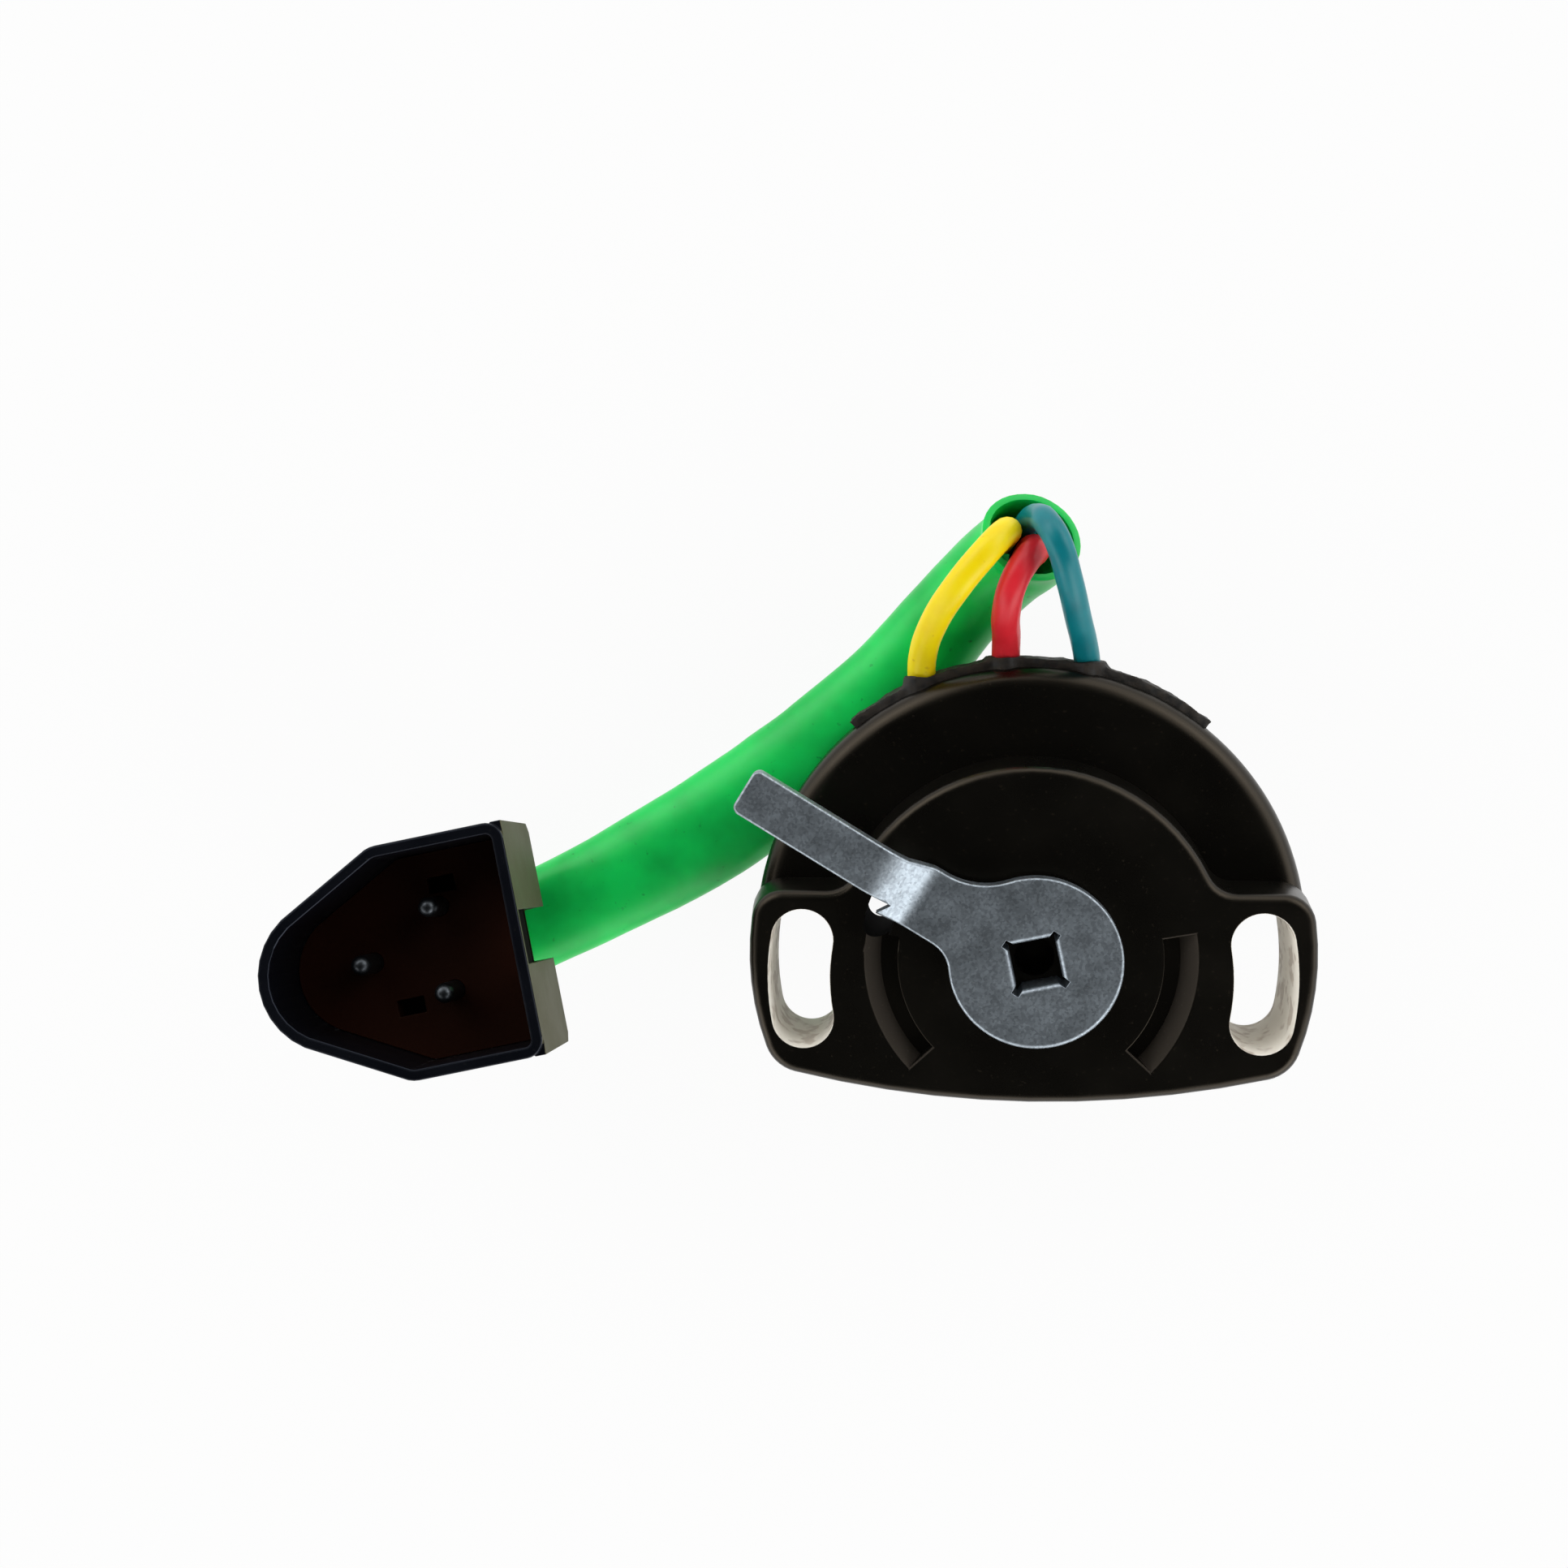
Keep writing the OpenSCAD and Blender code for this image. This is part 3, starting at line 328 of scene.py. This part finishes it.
print("Hidden finishes:", white_nylon.name, spring_wire.name, laminate.name)

# %% [markdown]
# The three wires are shown from end to end in the photo, so they are as long as they look: out of
# the resin, up over the rim, down into the sleeve's mouth, along inside it, and up into the back
# of the plug. Their routes are given in millimetres. They follow the CAD routes, but for small
# steps aside where the photo shows them and a higher loop in the red wire, which keeps its bend
# from creasing. A curve with automatic handles keeps the bends smooth.

# %% Wires
wire_r = {"yellow_wire": 1.28 * MM, "red_wire": 1.28 * MM, "teal_wire": 1.18 * MM}
wire_finish = {"yellow_wire": yellow_pvc, "red_wire": red_pvc, "teal_wire": teal_pvc}
routes = {
    "yellow_wire": [
        (-9.7, 17.6, 9), (-9.7, 24.2, 9), (-9.6, 26.3, 9.9), (-8.6, 29.4, 12.3),
        (-6.4, 32.9, 14.6), (-3.9, 35.9, 14.7), (-2.6, 37.2, 13.2), (-2.1, 37.5, 11.2),
        (-2.2, 37.3, 9.6), (-3.1, 36.2, 7.7), (-5.7, 33.7, 5.3), (-8.3, 31.1, 4.4),
        (-14.3, 24.8, 3.4), (-21.2, 18.9, 3), (-28.5, 13.6, 2.8), (-36.2, 8.9, 2.8),
        (-44, 4.6, 2.7), (-49, 2.3, 2.6), (-51.4, 1.8, 3.1), (-53.4, 1.9, 4.8),
        (-54.1, 2.4, 7), (-53.9, 3.2, 10.8)],
    "red_wire": [
        (-2.1, 17.6, 9), (-2.1, 26.1, 9), (-2.1, 28.1, 10.3), (-2.2, 30.4, 12.9),
        (-1.6, 33.1, 14.1), (-0.4, 35.1, 13.2), (0.4, 35.8, 11.2), (0, 35.8, 8.9),
        (-0.9, 34.1, 6.8), (-3.6, 31.9, 5.4), (-5.6, 28.8, 4.2), (-11.1, 21.5, 3.3),
        (-18, 15, 3), (-25.5, 9.4, 2.8), (-33.6, 4.3, 2.8), (-41.8, 0, 2.7),
        (-47.5, -2.6, 2.7), (-49.7, -3.9, 3.1), (-51.4, -4.9, 4.6), (-52.5, -5.3, 6.9),
        (-52.3, -4.4, 12.1)],
    "teal_wire": [
        (5.2, 17.6, 9), (5.2, 25.6, 9), (4.8, 27.6, 10.4), (4.2, 29.6, 12.2),
        (3.1, 33.5, 15), (2.1, 36.6, 15.8), (1.2, 38.2, 14.4), (0.7, 38.7, 12),
        (0, 38.5, 9.1), (-1.1, 36.7, 5.7), (-4.3, 33.3, 3.1), (-6.8, 30.2, 2.5),
        (-12.7, 23.1, 2.2), (-19.6, 16.9, 2.4), (-27, 11.5, 2.6), (-34.9, 6.6, 2.6),
        (-42.9, 2.3, 2.5), (-47.5, 0.2, 2.3), (-54, -2.1, 2.1), (-57.3, -3, 3),
        (-59.4, -3.2, 5.2), (-60.1, -2.8, 7.6), (-59.9, -1.9, 12)],
}


def wire_curve(name, points, radius):
    """A round wire along the points, as a curve with one smooth spline."""
    line = bpy.data.curves.new(name, "CURVE")
    line.dimensions = "3D"
    line.bevel_depth = radius
    line.bevel_resolution = 6
    line.resolution_u = 6
    line.use_fill_caps = True
    spline = line.splines.new("BEZIER")
    spline.bezier_points.add(len(points) - 1)
    for knot, point in zip(spline.bezier_points, points):
        knot.co = Vector(point) * MM
        knot.handle_left_type = knot.handle_right_type = "AUTO"
    made = bpy.data.objects.new(name, line)
    bpy.context.scene.collection.objects.link(made)
    return made


wires = {}
for name, points in routes.items():
    piece = wire_curve(name + "_jacket", points, wire_r[name])
    piece.data.materials.append(wire_finish[name])
    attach(piece, "case")
    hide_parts(name)
    wires[name] = piece
    print(name, "length in mm:", round(piece.data.splines[0].calc_length() / MM, 1))

# %% [markdown]
# An operator in Blender acts on whatever is selected, so two small helpers keep that in hand: one
# makes a new object that alone is selected, and one adds a modifier and applies it. A third finds
# smooth values between listed ones.

# %% Modelling helpers
def begin(name, mesh):
    """A new selected and active object with this mesh, and nothing else selected."""
    bpy.ops.object.select_all(action="DESELECT")
    piece = bpy.data.objects.new(name, mesh)
    bpy.context.scene.collection.objects.link(piece)
    piece.select_set(True)
    bpy.context.view_layer.objects.active = piece
    return piece


def shape_with(piece, kind, **fields):
    """Adds a modifier with its settings and applies it."""
    modifier = piece.modifiers.new(kind.lower(), kind)
    for name, value in fields.items():
        setattr(modifier, name, value)
    bpy.ops.object.modifier_apply(modifier=modifier.name)


def between(values, at):
    """A smooth value through a list of numbers or vectors, at a place counted along the list."""
    i = min(int(at), len(values) - 2)
    u = at - i
    a, b, c, d = (values[min(max(k, 0), len(values) - 1)] for k in (i - 1, i, i + 1, i + 2))
    return 0.5 * (2 * b + (c - a) * u + (2 * a - 5 * b + 4 * c - d) * u ** 2
                  + (3 * b - a - 3 * c + d) * u ** 3)


print("Halfway between 2 and 3 in 1, 2, 3, 4:", between((1, 2, 3, 4), 1.5))

# %% [markdown]
# The sleeve is a soft tube that lies pressed a little flat on the floor and rises to an open
# mouth. A curve with a round section couldn't be flattened, so it is built from circles. Its
# centre line and its half width and half height are known at seventeen places, in millimetres. A
# smooth curve through those places gives many more, and at each one a circle is added, turned
# square to the line and stretched to an oval. Bridging the circles makes the skin. A cloud texture
# dents it softly, and only then does it get a wall, so that the wall is even.

# %% Sleeve's circles
sleeve_line = [Vector(p) for p in (
    (-49.5, -0.7, 3.15), (-46.4, 0.7, 3.15), (-42.9, 2.3, 3.15), (-38.9, 4.35, 3.15),
    (-34.9, 6.6, 3.15), (-30.9, 8.9, 3.15), (-27, 11.5, 3.15), (-23.3, 14.1, 3.15),
    (-19.6, 16.9, 3.15), (-16.1, 19.9, 3.2), (-12.7, 23.1, 3.3), (-9.6, 26.5, 3.45),
    (-6.8, 29.9, 3.85), (-4.3, 32.6, 4.6), (-2.2, 34.6, 6.1), (-0.5, 36, 7.9), (0.1, 37, 9.9))]
half_widths = (
    5, 4.9, 4.95, 5.05, 5.2, 5.3, 5.25, 5.2, 5.1, 4.95, 4.8, 4.6, 4.4, 4.35, 4.35, 4.45, 4.65)
half_heights = (
    3.1, 3.1, 3.1, 3.1, 3.1, 3.1, 3.1, 3.1, 3.1, 3.15, 3.25, 3.4, 3.65, 3.85, 4, 4.1, 4.2)
rings_between = 4
ring_sides = 36
a_little = 0.1  # how far along the list the line's direction is measured, to each side

bpy.ops.object.select_all(action="DESELECT")
last = len(sleeve_line) - 1
circles = []
for k in range(last * rings_between + 1):
    at = k / rings_between
    ahead = (between(sleeve_line, min(at + a_little, last))
             - between(sleeve_line, max(at - a_little, 0))).normalized()
    across = Vector((0, 0, 1)).cross(ahead).normalized()
    square = Matrix((across, ahead.cross(across), ahead)).transposed()
    bpy.ops.mesh.primitive_circle_add(
        vertices=ring_sides, radius=MM, fill_type="NOTHING",
        location=between(sleeve_line, at) * MM, rotation=square.to_euler())
    bpy.context.object.scale = (between(half_widths, at), between(half_heights, at), 1)
    circles.append(bpy.context.object)
print("Circles:", len(circles))

# %% Sleeve
sleeve_wall = 0.6 * MM
lip_round = 0.15 * MM
dent_size = 7 * MM
dent_depth = 0.25 * MM
sharp_from = math.radians(50)

for circle in circles:
    circle.select_set(True)
bpy.ops.object.join()
bpy.ops.object.transform_apply(location=True, rotation=True, scale=True)
sleeve = bpy.context.object
sleeve.name = "sleeve_tube"
bpy.ops.object.mode_set(mode="EDIT")
bpy.ops.mesh.select_all(action="SELECT")
bpy.ops.mesh.bridge_edge_loops(type="SINGLE")
bpy.ops.mesh.select_all(action="SELECT")
bpy.ops.mesh.normals_make_consistent(inside=False)
bpy.ops.object.mode_set(mode="OBJECT")
dents = bpy.data.textures.new("soft_dents", "CLOUDS")
dents.noise_scale = dent_size
shape_with(sleeve, "DISPLACE", texture=dents, texture_coords="LOCAL", strength=dent_depth,
           mid_level=0.75)
shape_with(sleeve, "SOLIDIFY", thickness=sleeve_wall, offset=-1, use_even_offset=True)
shape_with(sleeve, "BEVEL", width=lip_round, segments=2, limit_method="ANGLE",
           angle_limit=sharp_from)
bpy.ops.object.shade_smooth_by_angle(angle=sharp_from)
sleeve.data.materials.append(green_pvc)
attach(sleeve, "case")
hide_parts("sleeve")
print("Sleeve faces:", len(sleeve.data.polygons))

# %% [markdown]
# The folded lever, the body and the plug have the right forms in CAD already, with knife-sharp
# edges. Real mouldings and punched sheet never have those. Modelling them again would risk their
# sizes, so each is copied instead, its loose triangles are merged, and flat faces are made whole
# again. Then its edges are worked. A last modifier lets the large flat faces lead the shading, so
# that a narrow bevel doesn't bend the light on the face beside it.

# %% Merged copies
def copied(node, name, merge_mm=0.02):
    """A merged copy of a CAD node, selected and active."""
    piece = begin(name, nodes[node].data.copy())
    bpy.ops.mesh.customdata_custom_splitnormals_clear()
    bpy.ops.object.mode_set(mode="EDIT")
    bpy.ops.mesh.select_all(action="SELECT")
    bpy.ops.mesh.remove_doubles(threshold=merge_mm * MM)
    bpy.ops.mesh.dissolve_limited(angle_limit=math.radians(0.5))
    bpy.ops.mesh.mark_sharp(clear=True)
    bpy.ops.object.mode_set(mode="OBJECT")
    return piece


def stands_for(piece, node, body, material):
    """Hands the piece its finish and its body, and hides the CAD node that it stands for."""
    bpy.ops.object.shade_smooth_by_angle(angle=math.radians(32))
    shape_with(piece, "WEIGHTED_NORMAL", keep_sharp=True, weight=80)
    piece.data.materials.clear()
    piece.data.materials.append(material)
    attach(piece, body)
    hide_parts(node)
    print(piece.name, "faces:", len(piece.data.polygons))


def pick_edges(piece, wanted):
    """Selects, in edit mode, the edges that pass a test on them and their faces' normals."""
    bpy.ops.mesh.select_mode(type="EDGE")
    bpy.ops.mesh.select_all(action="DESELECT")
    shape = bmesh.from_edit_mesh(piece.data)
    for edge in shape.edges:
        if len(edge.link_faces) == 2:
            edge.select = wanted(edge, *(face.normal for face in edge.link_faces))
    bmesh.update_edit_mesh(piece.data)


def middle_of(edge):
    """The middle of an edge."""
    return (edge.verts[0].co + edge.verts[1].co) / 2


def soften(piece, size_mm):
    """Rounds every sharp edge of a piece by a little."""
    shape_with(piece, "BEVEL", width=size_mm * MM, segments=2, limit_method="ANGLE",
               angle_limit=math.radians(40), use_clamp_overlap=False)


# %% [markdown]
# The lever is punched from sheet steel. The punch drags the metal along, so the sheet's upper edge
# is rolled over, most of all on the lower side of the disc, and the edge underneath stays almost
# sharp. First come tests that tell the edges apart: by their faces, one flat and one upright, and
# by how far out they lie.

# %% Lever
lever_middle = Vector((0.4, 0.3, 0)) * MM
hole_out = 2.6    # in millimetres from the middle: the hole's rim lies within this
slits_out = 3.6   # the rims of the four slits lie within this
outline_out = 4   # and only the sheet's outline lies further out
lever = copied("lever", "lever_sheet")


def out_mm(edge):
    """How far an edge's middle lies from the middle of the lever's disc, seen from above."""
    away = middle_of(edge) - lever_middle
    return math.hypot(away.x, away.y) / MM


def is_rim(a, b, side):
    """True where a wall meets the sheet's upper (side 1) or lower (side -1) face."""
    return max(side * a.z, side * b.z) > 0.7 and min(abs(a.z), abs(b.z)) < 0.3


def hole_rim(edge, a, b):
    """True for the lips of the square hole."""
    return is_rim(a, b, 1) and out_mm(edge) < hole_out


def slit_rim(edge, a, b):
    """True for the upper rims of the four slits at the hole's corners."""
    return is_rim(a, b, 1) and hole_out < out_mm(edge) < slits_out


def low_rim(edge, a, b):
    """True for the outline's edges underneath."""
    return is_rim(a, b, -1) and out_mm(edge) > outline_out


# %% [markdown]
# The hole's lips, the slits and the lower outline each get a bevel of their own size. The upper
# outline gets one bevel whose width follows a weight on each edge: full on the lower side of the
# disc, a third elsewhere, and none on the short edge of the small hook, where it would cut into
# the next one. Along a smooth curve the weight changes slowly, because a jump between two edges in
# line would tear the surface.

# %% Lever's edges
bpy.ops.object.mode_set(mode="EDIT")
for test, size_mm, steps in ((hole_rim, 0.5, 5), (slit_rim, 0.15, 3), (low_rim, 0.12, 2)):
    pick_edges(lever, test)
    bpy.ops.mesh.bevel(offset=size_mm * MM, segments=steps, affect="EDGES", clamp_overlap=True)
bpy.ops.object.mode_set(mode="OBJECT")

widest_roll = 0.75 * MM
least_share = 0.35
disc_out = 7.8
hook_out = (13, 16)
rolled_side = Vector((0.25, -0.97, 0))
arm_heading = math.radians(148.3)
along_arm = Vector((math.cos(arm_heading), math.sin(arm_heading), 0))


def roll_share(edge, wall):
    """The share of the widest roll that an upper edge gets, from its place and its wall."""
    out = out_mm(edge)
    if hook_out[0] < out < hook_out[1] and abs(wall.dot(along_arm)) > 0.5:
        return 0
    away = (middle_of(edge) - lever_middle).normalized()
    on_rolled_side = max(0, away.dot(rolled_side)) if out < disc_out else 0
    return least_share + (1 - least_share) * on_rolled_side


shape = bmesh.new()
shape.from_mesh(lever.data)
weight = shape.edges.layers.float.new("bevel_weight_edge")
for edge in shape.edges:
    if len(edge.link_faces) == 2 and out_mm(edge) > outline_out:
        a, b = (face.normal for face in edge.link_faces)
        if is_rim(a, b, 1):
            edge[weight] = roll_share(edge, wall=a if abs(a.z) < abs(b.z) else b)
shape.to_mesh(lever.data)
shape.free()
shape_with(lever, "BEVEL", width=widest_roll, segments=5, limit_method="WEIGHT",
           use_clamp_overlap=False)
stands_for(lever, "lever", "turning", zinc)

# %% [markdown]
# The housing's large rounded rims are in the CAD model already. What is left are the sharp edges
# in the ears' face, which a mould never leaves quite sharp. They get a small bevel, but for those
# beside the window slot at the left recess, where the wall is too narrow for one.

# %% Housing
ears_face = 16.9 * MM  # just under the face, which lies at 17 mm


def in_arc(point, near, far, start, end):
    """True between two distances from the shaft, in mm, and between two headings in degrees."""
    heading = math.degrees(math.atan2(point.y, point.x))
    return near < math.hypot(point.x, point.y) / MM < far and start < heading < end


def face_rim(edge, a, b):
    """True for the sharp edges in the ears' face, but for those beside the window slot."""
    in_face = all(v.co.z > ears_face for v in edge.verts)
    beside_window = in_arc(middle_of(edge), 11.9, 15.4, 135, 175)
    return in_face and a.angle(b) > math.radians(40) and not beside_window


housing = copied("housing", "housing_moulding", merge_mm=0.08)
bpy.ops.object.mode_set(mode="EDIT")
pick_edges(housing, face_rim)
bpy.ops.mesh.bevel(offset=0.15 * MM, segments=2, affect="EDGES", clamp_overlap=False)
bpy.ops.object.mode_set(mode="OBJECT")
stands_for(housing, "housing", "case", nylon)

# %% [markdown]
# Painted light and shade sit on certain walls of the housing. The walls of the two screw slots get
# a pale base that is painted light, with specks of dirt. The narrow window slot is painted near
# black, as painted shade. The outer slopes of the two arc recesses are painted paler, as painted
# light.
# Separate pieces would have to fit the moulding exactly. One mesh can carry several materials, so
# the faces are picked by their place and direction, and each gets the number of its material.

# %% Walls with painted light and shade
slot_centre_y = -1.9 * MM
slot_line_r = 20.45 * MM
slot_half_angle = math.radians(10)
slot_reach = 3 * MM
recess_low = 14.5 * MM


def off_slot_line(point):
    """How far a point lies from the curved middle line of the nearer slot."""
    flat = Vector((abs(point.x), point.y - slot_centre_y))
    heading = min(max(math.atan2(flat.y, flat.x), -slot_half_angle), slot_half_angle)
    return (flat - slot_line_r * Vector((math.cos(heading), math.sin(heading)))).length


def on_recess_slope(face):
    """True for a face of the sloping outer wall of one of the two arc recesses."""
    out = math.hypot(face.center.x, face.center.y) / MM
    inward = face.normal.xy.dot(face.center.xy) < 0
    sloping = 0.3 < face.normal.z < 0.95
    return inward and sloping and 12.8 < out < 15 and face.center.z > recess_low


for material in (painted_light_dusty_nylon, painted_shade_nylon, painted_light_slope_nylon):
    housing.data.materials.append(material)
# The slot walls get painted light, the window walls painted shade, and the recess slopes painted
# light.
for face in housing.data.polygons:
    upright = abs(face.normal.z) < 0.5
    if upright and off_slot_line(face.center) < slot_reach:
        face.material_index = 1
    elif upright and in_arc(face.center, 12.2, 15.3, 140, 174):
        face.material_index = 2
    elif on_recess_slope(face):
        face.material_index = 3
for number, material in enumerate(housing.data.materials):
    print(material.name, sum(face.material_index == number for face in housing.data.polygons))

# %% [markdown]
# The plug is an open black shell with a red-brown block in it that holds the pins. The rim of the
# shell's mouth shows as a soft line in the photo, so it gets the widest bevel. The flat side is
# painted a pale olive, as painted light on a black face that turns towards the bright room. Over
# its notch lies a shallow strip painted near black, as painted shade. The strip's outline is a
# plain rectangle, so a thin box cuts it, half of the box's 0.24 mm deep.

# %% Plug shell
mouth_middle = Vector((-44, 3, 23)) * MM
plug_up = Vector((0.0515, 0.1822, 0.9819))
plug_out = Vector((0.9767, 0.196, -0.0876))
plug_side = plug_up.cross(plug_out)
strip_size = (0.24, 4.84, 3)  # in millimetres, through the wall, across it and up
strip_middle = mouth_middle - 2.2 * MM * plug_up


def mouth_rim(edge, a, b):
    """True for the edges of the plug's mouth, where the rim's flat top meets a wall."""
    at_mouth = all(abs((v.co - mouth_middle).dot(plug_up)) < 0.05 * MM for v in edge.verts)
    return at_mouth and min(a.dot(plug_up), b.dot(plug_up)) < 0.5


shell = copied("plug_shell", "plug_shell_moulding")
bpy.ops.mesh.primitive_cube_add(
    size=MM, location=strip_middle,
    rotation=Matrix((plug_out, plug_side, plug_up)).transposed().to_euler())
cutter = bpy.context.object
cutter.scale = strip_size
bpy.context.view_layer.objects.active = shell
shape_with(shell, "BOOLEAN", object=cutter, operation="DIFFERENCE", solver="EXACT")
bpy.data.objects.remove(cutter)
bpy.ops.object.mode_set(mode="EDIT")
pick_edges(shell, mouth_rim)
bpy.ops.mesh.bevel(offset=0.2 * MM, segments=3, affect="EDGES", clamp_overlap=True)
bpy.ops.object.mode_set(mode="OBJECT")
soften(shell, 0.07)
stands_for(shell, "plug_shell", "case", shell_plastic)

# %% Plug's flat side and insert
flat_side_out = -0.08  # in millimetres from the flat side, which lies at 0
strip_floor_out = -0.25
strip_reach = 2.4 * MM

for material in (painted_light_plastic, painted_shade_nylon):
    shell.data.materials.append(material)
# The flat side gets a pale olive as painted light, and the strip over the notch gets near black as
# painted shade.
for face in shell.data.polygons:
    place = face.center - mouth_middle
    out = place.dot(plug_out) / MM
    if out > flat_side_out and place.dot(plug_up) < -0.3 * MM:
        face.material_index = 1
    elif (out > strip_floor_out and abs(place.dot(plug_side)) < strip_reach
          and face.normal.dot(plug_out) > 0.9):
        face.material_index = 2

insert = copied("plug_insert", "plug_insert_moulding")
soften(insert, 0.1)
stands_for(insert, "plug_insert", "case", insert_plastic)

# %% [markdown]
# Each wire's pieces are listed and printed: its own pin and seal, and with the first one the plug
# and the sleeve, which all three share. The part of a wire that the resin hides isn't counted.

# %% Cords
plug_end = {"yellow_wire": "upper", "red_wire": "lower", "teal_wire": "nose"}
for name, piece in wires.items():
    on_it = [f"plug_pin_{plug_end[name]}", f"wire_seal_{plug_end[name]}"]
    if name == "yellow_wire":
        on_it += ["plug_shell_moulding", "plug_insert_moulding", "sleeve_tube"]
    print(name, "carries", on_it)

# %% [markdown]
# Casting resin is poured round the wires last. It climbs up them, hangs over the pocket's edge and
# sets with a lumpy skin. Lumps need many small even faces, which the CAD mesh doesn't have. So the
# copy gets a short collar round each wire, all is remeshed as one, and a cloud texture pushes the
# skin in and out.

# %% Resin
collar_r = 1.9  # these are in millimetres
collar_length = 5
wire_height = 9
collar_ends = ((-9.7, 24.7), (-2.1, 26.5), (5.2, 26))

potting = copied("potting", "potting_resin")
collars = [potting]
for end_x, end_y in collar_ends:
    bpy.ops.object.select_all(action="DESELECT")
    bpy.ops.mesh.primitive_cylinder_add(
        vertices=24, radius=collar_r * MM, depth=collar_length * MM,
        location=Vector((end_x, end_y - collar_length / 2, wire_height)) * MM,
        rotation=(math.radians(90), 0, 0))
    collars.append(bpy.context.object)
for part in collars:
    part.select_set(True)
bpy.context.view_layer.objects.active = potting
bpy.ops.object.join()
shape_with(potting, "REMESH", mode="VOXEL", voxel_size=0.3 * MM)
lumps = bpy.data.textures.new("resin_lumps", "CLOUDS")
lumps.noise_scale = 1.6 * MM
lumps.noise_depth = 3
shape_with(potting, "DISPLACE", texture=lumps, texture_coords="LOCAL", strength=0.5 * MM,
           mid_level=0.85)
stands_for(potting, "potting", "case", resin)

# %% [markdown]
# Plain studio surroundings begin with a pale floor. The camera and the reflections see it as
# white, through the kinds of ray that Light Path tells apart, and all other light meets a matt
# grey-white paper. The mix leaves a little of the paper in what is seen, so the object keeps its
# shadow.

# %% Floor
floor_drop = 0.1 * MM  # keeps the floor's plane apart from the faces that rest on it
white_share = 0.94

bpy.ops.object.select_all(action="DESELECT")
bpy.ops.mesh.primitive_plane_add(size=4.0, location=(-0.02, 0.01, -floor_drop))
floor = bpy.context.object
floor.name = "floor"
paper = new_material("pale_paper_floor")
ray = add(paper, "ShaderNodeLightPath")
seen = add(paper, "ShaderNodeMath", {
    0: ray.outputs["Is Camera Ray"], 1: ray.outputs["Is Glossy Ray"]}, operation="MAXIMUM")
seen = add(paper, "ShaderNodeMath", {
    0: seen.outputs[0], 1: ray.outputs["Is Transmission Ray"]}, operation="MAXIMUM")
share = add(paper, "ShaderNodeMath", {
    0: seen.outputs[0], 1: white_share}, operation="MULTIPLY")
matt = add(paper, "ShaderNodeBsdfDiffuse", {"Color": linear("#E6E6E4")})
glow = add(paper, "ShaderNodeEmission", {"Color": linear("#FFFFFF"), "Strength": 1.0})
surface = add(paper, "ShaderNodeMixShader", {
    0: share.outputs[0], 1: matt.outputs[0], 2: glow.outputs[0]})
add(paper, "ShaderNodeOutputMaterial", {"Surface": surface.outputs[0]})
floor.data.materials.append(paper)
print("Floor:", paper.name)

# %% [markdown]
# The world is bright at the horizon and dim overhead. The dim ceiling is what keeps the flat black
# faces black, as in the photo, while the bright walls draw the soft lines along the rims. Only the
# camera sees it plain white. Four large soft lamps stand low round the object and add the rest.

# %% World and lamps
walls_up_to, ceiling_from = 0.42, 0.66  # heights on a sphere whose top is 1
wall_light, ceiling_light = 1.9, 0.03

world = bpy.data.worlds.new("studio")
world.use_nodes = True
world.node_tree.nodes.clear()
bpy.context.scene.world = world
direction = add(world, "ShaderNodeTexCoord").outputs["Generated"]
height = add(world, "ShaderNodeSeparateXYZ", {0: direction})
walls = add(world, "ShaderNodeMapRange", {
    "Value": height.outputs["Z"], "From Min": walls_up_to, "From Max": ceiling_from,
    "To Min": wall_light, "To Max": ceiling_light})
direct = add(world, "ShaderNodeLightPath").outputs["Is Camera Ray"]
level = add(world, "ShaderNodeMix", {0: direct, 2: walls.outputs[0], 3: 1.0})
room = add(world, "ShaderNodeBackground", {
    "Color": linear("#FFFFFF"), "Strength": level.outputs[0]})
add(world, "ShaderNodeOutputWorld", {"Surface": room.outputs[0]})

lamp_reach = 0.5
lamp_side = 0.3
lamp_lift = math.radians(32)
for heading, power in ((40, 0.35), (130, 0.4), (220, 0.35), (310, 0.6)):
    a, e = math.radians(heading), lamp_lift
    spot = Vector((math.cos(a) * math.cos(e), math.sin(a) * math.cos(e), math.sin(e)))
    spot *= lamp_reach
    bpy.ops.object.light_add(type="AREA", location=spot)
    lamp = bpy.context.object
    lamp.data.shape = "SQUARE"
    lamp.data.size = lamp_side
    lamp.data.energy = power
    lamp.rotation_euler = spot.to_track_quat("Z", "Y").to_euler()
bpy.context.scene.view_settings.view_transform = "Standard"

# %% [markdown]
# Every CAD node gets a finish too. The cover, the pins, the seals and all that lies inside are
# shown as CAD made them. The nodes that a new piece stands for are hidden, and get the same finish
# as that piece.

# %% CAD nodes with a finish of their own
finishes = {
    nylon: ("housing", "rear_cover", "rotor"),
    resin: ("potting",),
    zinc: ("lever",),
    brass: ("shaft_bush", "wiper", "terminal_left", "terminal_middle", "terminal_right"),
    rubber: ("shaft_seal", "wire_seal_upper", "wire_seal_lower", "wire_seal_nose"),
    white_nylon: ("thrust_washer",),
    spring_wire: ("return_spring",),
    laminate: ("track_board",),
    yellow_pvc: ("yellow_wire",),
    red_pvc: ("red_wire",),
    teal_pvc: ("teal_wire",),
    green_pvc: ("sleeve",),
    shell_plastic: ("plug_shell",),
    insert_plastic: ("plug_insert",),
    shade_darkened_tin: ("plug_pin_upper", "plug_pin_lower", "plug_pin_nose"),
}
for material, names in finishes.items():
    for name in names:
        nodes[name].data.materials.clear()
        nodes[name].data.materials.append(material)
print("Finished nodes:", sum(len(names) for names in finishes.values()))
